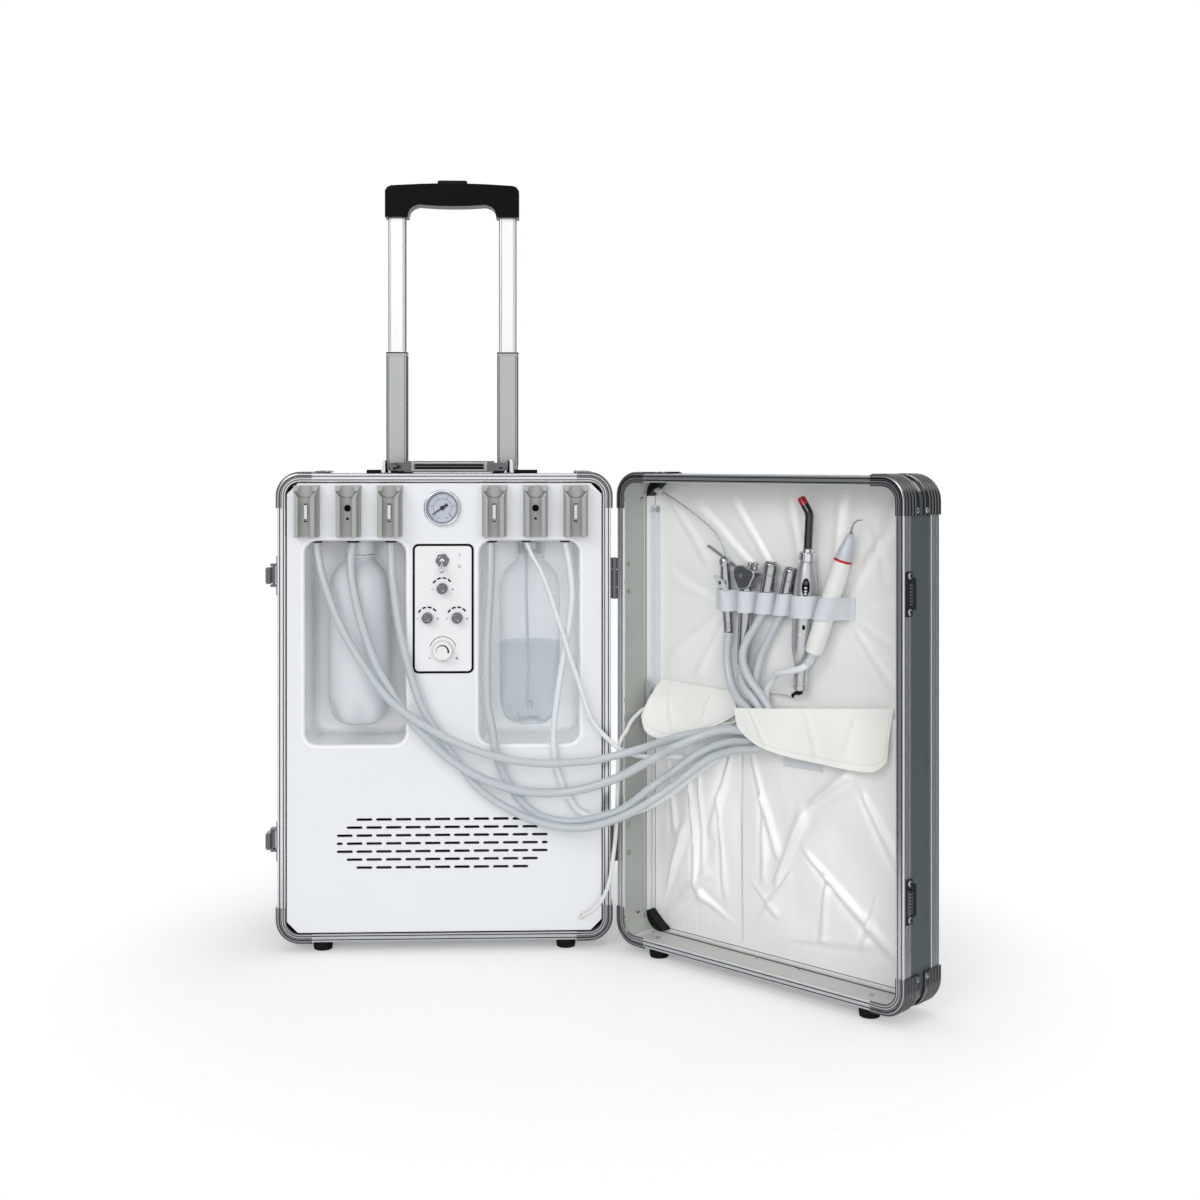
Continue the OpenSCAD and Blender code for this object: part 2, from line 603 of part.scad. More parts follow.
module case_hardware() at_case() color([0.78, 0.79, 0.8]) {
  // hinges, with their pins
  for (z = hinge_zs) translate([hinge_x, 0, z]) {
    for (k = [-hinge_l / 2, hinge_l / 2 - 13]) {
      knuckle(k, k + 13);
      box(out_x - hinge_x, out_x - hinge_x + leaf_t, 0, edge_w, k, k + 13);
    }
    box(out_x - hinge_x, out_x - hinge_x + leaf_t, barrel_r + 0.6, edge_w, -hinge_l / 2, hinge_l / 2);
    box(-hinge_off, out_x - hinge_x + leaf_t, edge_w, edge_w + 14, -hinge_l / 2, hinge_l / 2);
    translate([0, 0, -hinge_l / 2 - 0.6]) cylinder(d = pin_d, h = hinge_l + 1.2);
  }
  // latch plates with the brackets of the lever pins
  for (z = latch_zs) translate([0, 0, z]) difference() {
    union() {
      box(-out_x - 1.4, -out_x, 3, edge_w, -22.5, 22.5);
      box(-out_x - 1.4, -side_x, edge_w, 34, -22.5, 22.5);
      for (s = [-1, 1]) box(-latch_x - 3.4, -out_x - 1.4, latch_y - 5, latch_y + 5,
        s * 12 - 1.5, s * 12 + 1.5);
      for (s = [-1, 1]) translate([-out_x - 1.4, 22, s * 18.4]) rotate([0, -90, 0])
        cylinder(d1 = 5.6, d2 = 3, h = 1.2);
    }
    translate([-latch_x, latch_y, -20]) cylinder(d = latch_pin, h = 40);
  }
  // brackets of the carry handle
  for (s = [-1, 1]) difference() {
    union() {
      box(s * carry_x - 6, s * carry_x + 6, carry_y - 15, carry_y + 15, top_z, top_z + 1.8);
      box(s * carry_x - 2 + s * 3.8, s * carry_x + 2 + s * 3.8, carry_y - 8, carry_y + 8, top_z + 1.8,
        carry_z + 8);
    }
    translate([s * carry_x - 9, carry_y, carry_z]) rotate([0, 90, 0]) cylinder(d = 5, h = 18);
  }
}

module latch_lever(i) at_case() color([0.8, 0.81, 0.82]) translate([-latch_x, latch_y, latch_zs[i]]) {
  translate([0, 0, -13.5]) cylinder(d = latch_pin - 0.4, h = 27);
  box(-2.6, 1.6, -2.6, 2.6, -9.5, 9.5);
  box(-7, -2.6, -12, 3.4, -9.5, 9.5);
  box(-8, -7, -10.5, -7, -8, 8);
}
module latch_lever_upper() { latch_lever(0); }
module latch_lever_lower() { latch_lever(1); }

// ---------- carry handle, folded down towards the back ----------
module carry_handle() at_case() color([0.08, 0.08, 0.08]) translate([0, carry_y, carry_z]) {
  for (s = [-1, 1]) {
    translate([s * carry_x - 7, 0, 0]) rotate([0, 90, 0]) cylinder(d = 4.4, h = 14);
    difference() {
      box(s * (carry_x - 1) - 2, s * (carry_x - 1) + 2, -4.5, 34, -4.5, 5);
      translate([s * carry_x, 0, 0]) box(-9, 9, -6, -4.6, -9, 9);
    }
  }
  box(-carry_x - 1, carry_x + 1, 28, 34, -5, 5);
  box(-carry_x + 14, carry_x - 14, 24, 44, -6.4, 7);
}

// ---------- pull handle ----------
module pair() { for (s = [-1, 1]) translate([s * tube_x, tube_y, 0]) children(); }

module trolley_guides() at_case() color([0.1, 0.1, 0.1]) {
  pair() translate([0, 0, base_z0]) linear_extrude(top_z - base_z0) tube2d(base_w, base_t, tube_wall);
  for (s = [-1, 1]) difference() {
    box(min(s * 50, s * 106), max(s * 50, s * 106), tube_y - 13, tube_y + 13, top_z, top_z + collar_h);
    translate([s * tube_x, tube_y, top_z - 1]) linear_extrude(20)
      rrect(mid_w + 2 * tube_gap, mid_t + 2 * tube_gap, 3);
  }
}

module trolley_middle() at_case() color([0.72, 0.73, 0.74]) pair() {
  translate([0, 0, mid_top - mid_len]) linear_extrude(mid_len - 4) tube2d(mid_w, mid_t, tube_wall);
  translate([0, 0, mid_top - 4]) linear_extrude(4) difference() {
    rrect(mid_w + 0.6, mid_t + 0.6, 3);
    rrect(top_w + 2 * tube_gap, top_t + 2 * tube_gap, 3);
  }
}

module trolley_top() at_case() color([0.93, 0.94, 0.95]) pair()
  translate([0, 0, grip_z - top_len]) linear_extrude(top_len) tube2d(top_w, top_t, tube_wall);

grip_w = 2 * tube_x + top_w + 7;
module trolley_grip() at_case() color([0.07, 0.07, 0.07]) translate([0, tube_y, grip_z]) {
  h = 41;
  a = grip_w / 2;
  b = tube_x - top_w / 2 - 3.5;
  difference() {
    translate([0, 14, 0]) rotate([90, 0, 0]) linear_extrude(28) difference() {
      polygon([[-a, 0], [-a, h - 8], [-a + 3, h - 3.5], [-a + 8, h - 1.5], [-38, h + 0.5], [-20, h + 1],
        [20, h + 1], [38, h + 0.5], [a - 8, h - 1.5], [a - 3, h - 3.5], [a, h - 8], [a, 0]]);
      polygon([[-b, -1], [-b, 3], [-b + 2, 9], [-b + 6, 13], [-b + 13, 15.5], [-20, 14],
        [0, 13.6], [20, 14], [b - 13, 15.5], [b - 6, 13], [b - 2, 9], [b, 3], [b, -1]]);
    }
    box(-19, 19, -9, 9, h - 16, h + 9);
    for (s = [-1, 1]) translate([s * (tube_x + 2), -15, 9]) rotate([-90, 0, 0]) cylinder(d = 5, h = 1.6);
  }
}

module trolley_button() at_case() color([0.16, 0.16, 0.17]) translate([0, tube_y, grip_z + 41])
  difference() {
    box(-18.5, 18.5, -8.5, 8.5, -9, 6);
    for (s = [-1, 1]) translate([s * 18.5, 0, 6]) rotate([0, s * 20, 0]) box(-9, 9, -9, 9, 0, 9);
  }

// ---------- lid ----------
module lid_box() { translate([lum, 0, 0]) children(); }

module lid_shell() in_lid() color([0.33, 0.37, 0.38]) lid_box() difference() {
  slab(case_w, case_h, corner_r, shell_y, lid_d);
  slab(in_w, in_h, corner_r - wall, -1, lid_d - wall);
}

module lid_frames() in_lid() color([0.8, 0.81, 0.82]) difference() {
  lid_box() {
    rim_frame();
    end_frame(lid_d);
    cap_rivets(24);
    cap_rivets(lid_d - 24);
  }
  for (u = lid_foot_us) translate([u, 14.5, -1]) cylinder(d = foot_d + 0.4, h = foot_h + 1);
}

module lid_feet() in_lid() color([0.06, 0.06, 0.06]) for (u = lid_foot_us)
  translate([u, 14.5, 0]) cylinder(d1 = foot_d - 3, d2 = foot_d, h = foot_h);
lid_foot_us = [lu0 + 50.4, lu1 - 47.6];

module lid_hardware() in_lid() color([0.78, 0.79, 0.8]) {
  u = hinge_off - edge_t;
  for (z = hinge_zs) translate([0, 0, z]) {
    difference() {
      union() {
        translate([0, 0, -10]) cylinder(r = barrel_r, h = 20);
        box(u - leaf_t, u, 0, edge_w, -10, 10);
      }
      translate([0, 0, -11]) cylinder(d = pin_d + pin_gap, h = 22);
    }
    box(u - leaf_t, u, barrel_r + 0.6, edge_w, -hinge_l / 2, hinge_l / 2);
    box(u - leaf_t, hinge_off, edge_w, edge_w + 14, -hinge_l / 2, hinge_l / 2);
  }
  o = lu1 + edge_t;
  for (z = latch_zs) translate([0, 0, z]) {
    box(o, o + 1.4, 2, edge_w, -22.5, 22.5);
    box(lu1, o + 1.4, edge_w, 21, -16, 16);
    box(o + 1.4, o + 4.6, 3.5, 8.5, -13, 13);
    for (s = [-1, 1]) translate([o + 1.4, 9, s * 18]) rotate([0, 90, 0])
      cylinder(d1 = 6.4, d2 = 3.4, h = 1.6);
  }
}

// ---------- lid: cloth ----------
// a place in the lid, kept against the lid's top and back when its size changes
function T(u, v, z) = [u, v + dv, z + dz];
function soft(x, a, b) = let (t = min(1, max(0, (x - a) / (b - a)))) t * t * (3 - 2 * t);
// the lining's front face: flat at its edge, drawn folds running in from the strap and the corners
function lining(u, z) = lid_d - wall - 1.3
  - soft(u, 14, 40) * (1 - soft(u, lu1 - 34, lu1 - 8)) * soft(z, 20, 60)
  * (1 - soft(z, top_z - 47, top_z - 9))
  * (0.9 + 0.5 * sin(2.3 * u + 1.1 * z) + 0.4 * sin(3.1 * u - 2.2 * z) + 0.3 * sin(5 * z));

// the four corner points are drawn in along the rounded corners of the lid by c
module lid_lining() in_lid() color([0.93, 0.92, 0.9])
  cloth([for (i = [0:21]) [for (j = [0:19])
    let (c = (i == 0 || i == 21) && (j == 0 || j == 19) ? 0.3 * corner_r : 0,
      z = foot_h + wall + 1 + (in_h - 2) * (1 - i / 21) + (i == 0 ? -c : c),
      u = lu0 + wall + 1 + (in_w - 2) * j / 19 + (j == 0 ? c : -c)) [u, lining(u, z), z]]], 0.8);

// front cloth of a pocket: sewn along its sides and bottom, bellied, with slanting folds
function pocket(u0, u1, s, t) = let (u = u0 + (u1 - u0) * s, z = pocket_top - (pocket_top - 22) * t,
    b = sin(180 * s) * sin(180 * (0.12 + 0.86 * t)))
  [u, lining(u, z) - 1.8 - b * (5 + 1.3 * sin(3.4 * u + 2.6 * z) + 1 * sin(4.1 * u - 3.3 * z)), z];
pocket_top = 296 + dz;

module lid_pockets() in_lid() color([0.93, 0.92, 0.9]) {
  cloth([for (i = [0:14]) [for (j = [0:8]) pocket(16, 140, j / 8, i / 14)]], 1);
  cloth([for (i = [0:14]) [for (j = [0:13]) pocket(143, lu1 - 11.6, j / 13, i / 14)]], 1);
}

// a flap hangs from a top line over the pocket to a free edge, both given as [u, v, z, share along]
function flap(a, e, s, t) = let (p = lookup3(a, s), q = lookup3(e, s),
    k = sin(90 * t)) [p[0] + (q[0] - p[0]) * t, p[1] + (q[1] - p[1]) * (0.35 * t + 0.65 * k)
    + 0.8 * t * sin(900 * s), p[2] + (q[2] - p[2]) * t];
function lookup3(e, s) = [for (k = [0:2]) lookup(s, [for (q = e) [q[3], q[k]]])];
function line(e) = [for (q = e) concat(T(q[0], q[1], q[2]), [q[3]])];

module pocket_flaps() in_lid() color([0.94, 0.93, 0.91]) {
  cloth([for (i = [0:8]) [for (j = [0:14]) flap(flap_a_top, flap_a_edge, j / 14, i / 8)]], 1);
  cloth([for (i = [0:8]) [for (j = [0:20]) flap(flap_b_top, flap_b_edge, j / 20, i / 8)]], 1);
}
flap_a_top = line([[23, 57, 308, 0], [128, 56, 304, 1]]);
flap_a_edge = line([[21, 24, 268, 0], [22, 24, 254, 0.1], [29, 28, 246, 0.25], [45, 33, 242, 0.38],
  [70, 39, 247, 0.56], [90, 44, 253, 0.7], [104, 46.4, 260, 0.8], [118, 48.6, 267, 0.88],
  [140, 52.5, 281, 1]]);
flap_b_top = line([[152, 28.5, 291, 0], [205, 31, 295.5, 0.3], [339, 57.9, 307, 1]]);
flap_b_edge = line([[158, 27, 272, 0], [168, 26, 262, 0.08], [190, 26, 252, 0.2],
  [230, 31, 245, 0.4], [300, 36, 241, 0.75], [338, 41, 240, 1]]);

// ---------- lid: tool strap ----------
// the axes of the tools, from the end with the hose
suction_line = [T(128.5, 50, 371.3), T(123.8, 48, 455.7)];
syringe_line = [T(148.4, 50, 336), T(155.8, 48, 431)];
conn_a_line = [T(178.3, 49.5, 400), T(188.5, 49.5, 451.5)];
conn_b_line = [T(203.4, 49.5, 400), T(215.4, 49.5, 446.2)];
light_line = [T(228.5, 47, 316.2), T(239.3, 45.5, 466)];
scaler_line = [T(251.6, 38, 358.2), T(285.9, 46, 463.2)];
tools = [suction_line, syringe_line, conn_a_line, conn_b_line, light_line, scaler_line];
tool_r = [suction_d / 2, syringe_d / 2, connector_d / 2, connector_d / 2, light_d / 2, scaler_d / 2];
seams = [108, 140, 166, 191.3, 218.5, 253.4, 286];
strap_z = 407 + dz;
// where a tool's axis passes the height z
function axis_at(l, z) = l[0] + (l[1] - l[0]) * (z - l[0][2]) / (l[1][2] - l[0][2]);
// the angle at which a loop of radius r leaves a tool for a seam w beside and h behind its axis
function leave(w, h, r) = atan2(h, w) - acos(r / norm([w, h]));
// one loop of the strap at the height z: from its first seam round the tool
function loop(i, z) = let (c = axis_at(tools[i], z), r = 1.05 * tool_r[i] + 1.8,
    h = lining(c[0], z) - 1.7 - c[1], a = leave(c[0] - seams[i], h, r), b = leave(seams[i + 1] - c[0], h, r))
  concat([[seams[i], lining(seams[i], z) - 1.7, z]],
    [for (k = [0:8]) let (t = 180 - a + k / 8 * (180 + a + b)) [c[0] + r * cos(t), c[1] + r * sin(t), z]]);

module loop_strap() in_lid() color([0.72, 0.76, 0.78])
  cloth([for (r = [1, 0, -1]) let (z = strap_z + r * strap_h / 2)
    concat([[seams[0] - 5, lining(seams[0] - 5, z) - 1.7, z]], [for (i = [0:5]) each loop(i, z)],
      [for (u = [seams[6], seams[6] + 5]) [u, lining(u, z) - 1.7, z]])], 0.9, true);

// ---------- tools ----------

module suction_handle() in_lid() color([0.8, 0.81, 0.82]) {
  r = suction_d / 2;
  along(suction_line[0], suction_line[1]) difference() {
    lathe([[0, r - 1.3], [1, r - 0.7], [22, r - 0.7], [22.6, r], [62, r], [72, r - 1.1], [84, r - 1.9],
      [84.5, r - 2.2]]);
    translate([0, 0, 74]) cylinder(d = 6.8, h = 12);
  }
  difference() {
    translate(T(126, 44.5, 427)) rotate([90, 0, 0]) cylinder(d = 7.6, h = 3.7);
    translate(T(126, 46, 427)) rotate([90, 0, 0]) cylinder(d = 3.4, h = 9);
  }
}

module suction_lever() in_lid() color([0.86, 0.88, 0.9]) translate(T(126, 0, 427)) rotate([90, 0, 0]) {
  translate([0, 0, -42]) cylinder(d = 3, h = 3);
  rotate([0, 0, -42]) translate([0, 0, -39.8]) difference() {
    union() {
      cylinder(d = 8.4, h = 3);
      box(-9, 9, -3.2, 3.2, 0, 3);
      for (s = [-1, 1]) translate([s * 9, 0, 0]) cylinder(d = 6.4, h = 3);
    }
    translate([0, 0, 2.2]) cylinder(d = 4, h = 2);
  }
}

module saliva_tip() in_lid() color([0.9, 0.93, 0.95, 0.8])
  sweep(concat(spline([T(20.5, 51.5, 529.5), T(52, 50.5, 515.5), T(83, 49, 499.4), T(104, 48.4, 486),
    T(116, 48.2, 474)], 5), [T(121.5, 48, 464.5), axis_at(suction_line, 456.5 + dz),
    axis_at(suction_line, 448 + dz)]),
    6.2, 10);

module syringe_body() in_lid() color([0.76, 0.77, 0.78]) {
  r = syringe_d / 2;
  difference() {
    union() {
      along(syringe_line[0], syringe_line[1]) lathe([[0, r - 1.4], [1, r - 0.6], [12, r - 0.2], [20, r],
        [74, r], [88, r - 0.8], [95, r - 0.8]]);
      translate(T(0, 55.5, 0)) rotate([90, 0, 0]) linear_extrude(15) polygon([[145, 428], [142, 436],
        [141.5, 441], [143.5, 445], [148, 447.5], [155, 447.8], [161, 445.5], [166, 443.6], [170.4, 441],
        [170.6, 436], [167, 430], [163, 423], [150, 420.6]]);
    }
    for (b = syringe_buttons) translate(T(b, 48, 438)) rotate([0, 14, 0]) cylinder(d = 5.4, h = 20);
  }
  along(T(144, 54.4, 440), T(95.6, 56, 466)) cylinder(d = 3.4, h = 55);
}
syringe_buttons = [157.5, 164.8];
module syringe_button(x) in_lid() color([0.82, 0.83, 0.84]) translate(T(x, 48, 438)) rotate([0, 14, 0])
  translate([0, 0, 3.4]) lathe([[0, 2.4], [7.5, 2.4], [7.5, 3.2], [9.4, 3.2], [10.2, 2.5]]);
module syringe_air_button() { syringe_button(syringe_buttons[0]); }
module syringe_water_button() { syringe_button(syringe_buttons[1]); }

module hose_connectors() in_lid() color([0.8, 0.81, 0.82]) for (l = [conn_a_line, conn_b_line]) {
  r = connector_d / 2;
  n = norm(l[1] - l[0]);
  along(l[0], l[1]) difference() {
    lathe([[0, r - 2.4], [2, r - 1.2], [16, r - 1], [18, r], [n - 1, r], [n, r - 0.8]]);
    for (a = [0:90:270]) rotate([0, 0, a + 20]) translate([r - 3.8, 0, n - 4]) cylinder(d = 2.2, h = 6);
    translate([0, 0, n - 1.2]) difference() {
      cylinder(r = r - 1.4, h = 3);
      translate([0, 0, -1]) cylinder(r = r - 2.2, h = 5);
    }
  }
}

module curing_light() in_lid() color([0.8, 0.81, 0.82]) {
  r = light_d / 2;
  along(light_line[0], light_line[1]) difference() {
    lathe([[0, 7.2], [1, 7.7], [26, 7.9], [34, 9.6], [48, r - 0.5], [60, r], [112, r], [128, r - 2],
      [139, 8], [141, 6.6], [149.4, 6.6], [150, 6.2]]);
    translate([0, 0, 140]) cylinder(d = guide_d + 0.4, h = 12);
  }
}

// the guide leaves the light straight and bends towards the hinges at its tip
module light_guide() in_lid() color([0.1, 0.08, 0.08]) {
  d = unit(light_line[1] - light_line[0]);
  p = light_line[0] + 140.4 * d;
  side = unit(cross([0, 1, 0], d));
  bend = 14;
  sweep(concat([p, p + 23 * d], [for (a = [0:5]) p + (46 + bend * sin(7.6 * a)) * d
      - bend * (1 - cos(7.6 * a)) * side], [p + (46 + bend * sin(38) + 16 * cos(38)) * d
      - (bend * (1 - cos(38)) + 16 * sin(38)) * side]), guide_d, 16);
}

module scaler_handpiece() in_lid() color([0.94, 0.94, 0.93]) {
  r = scaler_d / 2;
  along(scaler_line[0], scaler_line[1]) difference() {
    lathe([[0, r - 2.6], [1.4, r - 1.4], [5, r - 0.6], [14, r], [96, r], [106, r - 0.7], [110.6, r - 1],
      [122, r - 3.4], [131, r - 5.2], [133, r - 6], [135, r - 7.2]]);
  }
  d = unit(scaler_line[1] - scaler_line[0]);
  p = scaler_line[0] + 134 * d;
  sweep(spline([p, p + [1, -0.2, 6], p + [3.4, -0.4, 11.6], p + [8, -0.6, 15.4], p + [15, -0.6, 16.6]], 3),
    1.7, 6);
}

// ---------- hoses ----------
// C is a point before the case, L a point in the lid, both measured down from the top of the case
function C(x, y, z) = [x, y, z + dz];
function L(u, v, z) = let (a = lid_open - 180) [hinge_x + u * cos(a) - (v + dv) * sin(a),
  u * sin(a) + (v + dv) * cos(a), z + dz];
// a hose starts in the ceiling of a recess, above its hole h
function start(h) = [for (z = [8, -2]) [hose_holes[h][0], hose_holes[h][1], recess_z + recess_h + z]];
hoses_side = [0.25, 0.97, 0];

hose_1_path = concat(start(0), [
  C(-143.9, 5, 447), C(-136.5, -3, 421.2), C(-117.9, -15, 376.5), C(-90.6, -26, 332.3),
  C(-57.2, -36.5, 291.8), C(-10.3, -43.5, 260.1), C(45.8, -46, 235.4), C(101.9, -49, 224.4),
  C(157.9, -54, 226.4), C(185.8, -57, 231.5), C(221.5, -61, 241.5), L(74.2, 17, 249.4),
  L(90.1, 28, 254.9), L(107.4, 37, 258.7), L(124.2, 43, 262.1), L(142.3, 47, 264.9), L(154, 49, 277),
  L(160.5, 48.9, 291), L(164.5, 48.6, 311), L(172.8, 49.3, 345), L(186, 49.3, 370),
  L(202.9, 49.5, 398.5)]);
hose_2_path = concat(start(1), [
  C(-107.8, 5, 445.8), C(-104.7, -2, 418.7), C(-93.4, -11, 376), C(-76.6, -19, 331.3),
  C(-60.3, -24, 303.5), C(-39.6, -28.5, 272.4), C(-14.5, -32.5, 246.3), C(11.6, -35, 223.5),
  C(45.5, -37, 204.4), C(83.8, -39, 192.1), C(121, -42, 189.1), C(158.1, -48, 194.6),
  C(196, -56, 208.3), C(221.3, -63, 222.9), C(239.9, -69, 234), L(85.2, 4, 241.7), L(100.8, 15, 250.6),
  L(113, 23, 257.2), L(128.6, 28.5, 262.8), L(143.8, 32.5, 265.7), L(158.3, 35.5, 265.9),
  L(165.5, 37.5, 268.5), L(171, 38.2, 278), L(165.5, 38.3, 289), L(151, 39.5, 299), L(136, 43.8, 316),
  L(126.8, 48.8, 343), L(128.4, 50, 369.6)]);
hose_3_path = concat(start(2), [
  C(-61.2, 4, 443.4), C(-59.1, -1, 420.8), C(-52.1, -7, 375.4), C(-41, -12, 330.2),
  C(-25.8, -17, 285.2), C(-5.1, -21.5, 251.7), C(16.7, -25, 220.4), C(36, -27, 195.7),
  C(55.3, -28.5, 179.9), C(73.5, -30, 169.4), C(92.8, -32, 160), C(112, -34, 153.5),
  C(130.1, -37.5, 150.2), C(149.2, -42, 149.4), C(168.2, -47, 152.1), C(202.7, -56, 165.1),
  C(240.2, -65, 188.6), L(99, 12, 212.2), L(110.3, 21, 223.6), L(123.7, 27.5, 233.4),
  L(141.2, 30.5, 240.2), L(159.6, 32, 245.1), L(179.1, 33.5, 248.4), L(192, 36, 256), L(199, 38, 271),
  L(196, 38.6, 289), L(184, 38.9, 305), L(169, 38.6, 320), L(160, 37.6, 335), L(157.5, 37.8, 350),
  L(160.5, 40.5, 364), L(168.5, 46, 380.5), L(177.6, 49.5, 398.3)]);
hose_4_path = concat(start(3), [
  C(53.1, 4, 442), C(51.6, -3, 403.4), C(48.9, -7, 352.1), C(49.1, -11, 290.7), C(53.7, -13, 263.6),
  C(60.6, -15.5, 225.1), C(73.2, -17.5, 195.7), C(89.2, -19.5, 174.3), C(107.4, -22, 159.9),
  C(127.9, -26, 154.4), C(150.5, -32, 154.4), C(177.5, -41, 161.4), C(205.3, -49, 173.1),
  C(236.2, -57.5, 199.3), L(80.4, 8, 213), L(99.4, 22, 231), L(113.1, 30, 240.6), L(127.7, 35, 247.3),
  L(143.3, 38.5, 251.6), L(163.5, 39.5, 253.9), L(176, 39.4, 260), L(184.5, 39.3, 272),
  L(183, 39, 287), L(173, 38.5, 301), L(161, 38.6, 311), L(151.5, 43.7, 320), L(147.8, 48.6, 328),
  L(148.1, 50, 334.8)]);
hose_5_path = concat(start(4), [
  C(101.6, 8, 452), C(109.7, 2, 438.5), C(118.9, -5, 416), C(128.1, -10, 388.8), C(137.2, -13, 361.6),
  C(144, -14, 338.8), C(153.2, -15, 312.5), C(166.9, -17, 271.5), C(178.3, -19, 254.7),
  C(191.5, -22, 242), C(204.2, -27, 233.1), L(32.6, 6, 225.7), L(51.2, 16, 225.6), L(71.7, 27, 226.7),
  L(95.6, 39, 228.1), L(140, 49, 254), L(158, 50.5, 258), L(166, 50.8, 261)]);
hose_6_path = concat(start(5), [
  C(143.2, 6, 447.4), C(146.6, -0.5, 410.9), C(143.1, -2.5, 374.2), C(135, -3.5, 328.3),
  C(128.1, -5, 281.3), C(125.2, -6, 248.1), C(128.1, -7, 213.8), C(137.2, -9, 187.7),
  C(150.9, -14, 165.8), C(169, -22, 157.1), C(191.4, -32, 157.5), C(222.5, -44, 169.6),
  L(62.4, 3, 177.4), L(75.1, 16, 189.1), L(90.9, 27, 205.5), L(110.9, 38, 223.5), L(143, 47.5, 247),
  L(160, 50, 245.5), L(175, 50.5, 252), L(183, 50, 270), L(182, 49.4, 291), L(181.5, 48.6, 309),
  L(191, 46, 321), L(199, 41, 330), L(212, 34.5, 335), L(228, 31.2, 338.5), L(241, 32.2, 342.5),
  L(248.3, 35.3, 349), L(251.2, 37.9, 356.8)]);
light_cord_path = [
  [157, 16, 38.3], [157, 6, 38.3], [157.6, -4, 38.5], C(164.8, -11, 43.9), C(178.4, -14, 56.7),
  C(188.7, -16, 80), C(193.8, -16, 112), C(196.7, -15, 140.4), C(198.5, -14, 179.1),
  C(199.1, -13, 216.8), L(14.2, -6, 241.1), L(18.7, 1, 254.5), L(16.4, 10, 263), L(16.2, 21, 269.5),
  L(17.2, 31, 274.5), L(22.5, 38.5, 276.5), L(33, 43.5, 275.5), L(49, 47.3, 272.5), L(80, 49.5, 270),
  L(100, 51.2, 268.5), L(118, 52.5, 266.5), L(130, 53.6, 268.5), L(140, 54.8, 275), L(147, 55, 286),
  L(153, 55.6, 297), L(162, 56.2, 304), L(175, 56.4, 307.5), L(192, 55.5, 309.5), L(206, 52, 310),
  L(220, 48.7, 309.3), L(228, 47, 314.5)];

module hose_1() at_case() color([0.68, 0.71, 0.74]) sweep(spline(hose_1_path, 3), 9, 8, hoses_side);
module hose_2() at_case() color([0.68, 0.71, 0.74]) sweep(spline(hose_2_path, 3), 10, 8, hoses_side);
module hose_3() at_case() color([0.68, 0.71, 0.74]) sweep(spline(hose_3_path, 3), 9, 8, hoses_side);
module hose_4() at_case() color([0.68, 0.71, 0.74]) sweep(spline(hose_4_path, 3), 9.5, 8, hoses_side);
module hose_5() at_case() color([0.68, 0.71, 0.74]) sweep(spline(hose_5_path, 3), 5.5, 8, hoses_side);
module hose_6() at_case() color([0.68, 0.71, 0.74]) sweep(spline(hose_6_path, 3), 7.5, 8, hoses_side);
module light_cord() at_case() color([0.93, 0.93, 0.93]) sweep(spline(light_cord_path, 3), 4.5, 6, hoses_side);

// ---------- sub-parts ----------
case_shell();
case_frames();
front_panel();
handpiece_holders();
lever_1();
lever_3();
lever_4();
lever_6();
gauge_case();
gauge_dial();
gauge_needle();
control_plate();
control_fittings();
toggle_lever();
water_knob();
air_knob_left();
air_knob_right();
scaler_knob();
bottle_caps();
waste_bottle();
water_bottle();
air_supply();
side_ports();
case_feet();
wheel_left();
wheel_right();
case_hardware();
latch_lever_upper();
latch_lever_lower();
carry_handle();
trolley_guides();
trolley_middle();
trolley_top();
trolley_grip();
trolley_button();
lid_shell();
lid_frames();
lid_feet();
lid_hardware();
lid_lining();
lid_pockets();
pocket_flaps();
loop_strap();
suction_handle();
suction_lever();
saliva_tip();
syringe_body();
syringe_air_button();
syringe_water_button();
hose_connectors();
curing_light();
light_guide();
scaler_handpiece();
hose_1();
hose_2();
hose_3();
hose_4();
hose_5();
hose_6();
light_cord();
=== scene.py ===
# Portable dental unit in an opened trolley case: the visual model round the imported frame.
import json
import math

import bmesh
import bpy
from mathutils import Matrix, Vector, noise


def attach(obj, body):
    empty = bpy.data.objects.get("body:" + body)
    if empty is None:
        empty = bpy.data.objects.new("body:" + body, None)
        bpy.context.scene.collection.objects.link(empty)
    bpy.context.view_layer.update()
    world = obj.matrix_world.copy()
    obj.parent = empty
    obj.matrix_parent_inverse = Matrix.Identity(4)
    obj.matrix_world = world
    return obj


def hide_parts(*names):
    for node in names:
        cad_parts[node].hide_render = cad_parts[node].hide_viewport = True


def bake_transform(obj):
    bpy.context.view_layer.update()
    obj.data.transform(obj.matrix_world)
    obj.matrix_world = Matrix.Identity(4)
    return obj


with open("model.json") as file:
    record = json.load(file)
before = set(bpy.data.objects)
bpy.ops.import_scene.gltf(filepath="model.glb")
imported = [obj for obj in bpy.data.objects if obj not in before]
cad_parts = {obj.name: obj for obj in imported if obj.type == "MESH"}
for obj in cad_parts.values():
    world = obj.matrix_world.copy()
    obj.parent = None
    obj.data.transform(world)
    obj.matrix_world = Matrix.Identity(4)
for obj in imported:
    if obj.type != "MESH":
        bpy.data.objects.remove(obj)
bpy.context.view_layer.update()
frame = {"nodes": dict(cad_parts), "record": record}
scene = bpy.context.scene
BODY = {n: b for b, ns in frame["record"]["behaviour"]["bodies"].items() for n in ns}

# ---------- frames of reference, in millimetres ----------
# the case's own frame: x across, y from the rim backwards, z up
CASE = Matrix.Translation((-0.155, 0.034, 0)) @ Matrix.Scale(0.001, 4)
# the lid's own frame: u along the lid from the hinge axis, v into its depth, z up
LID = Matrix.Translation((0.0406, 0.034, 0)) @ Matrix.Rotation(-math.pi / 4, 4, "Z") @ Matrix.Scale(0.001, 4)


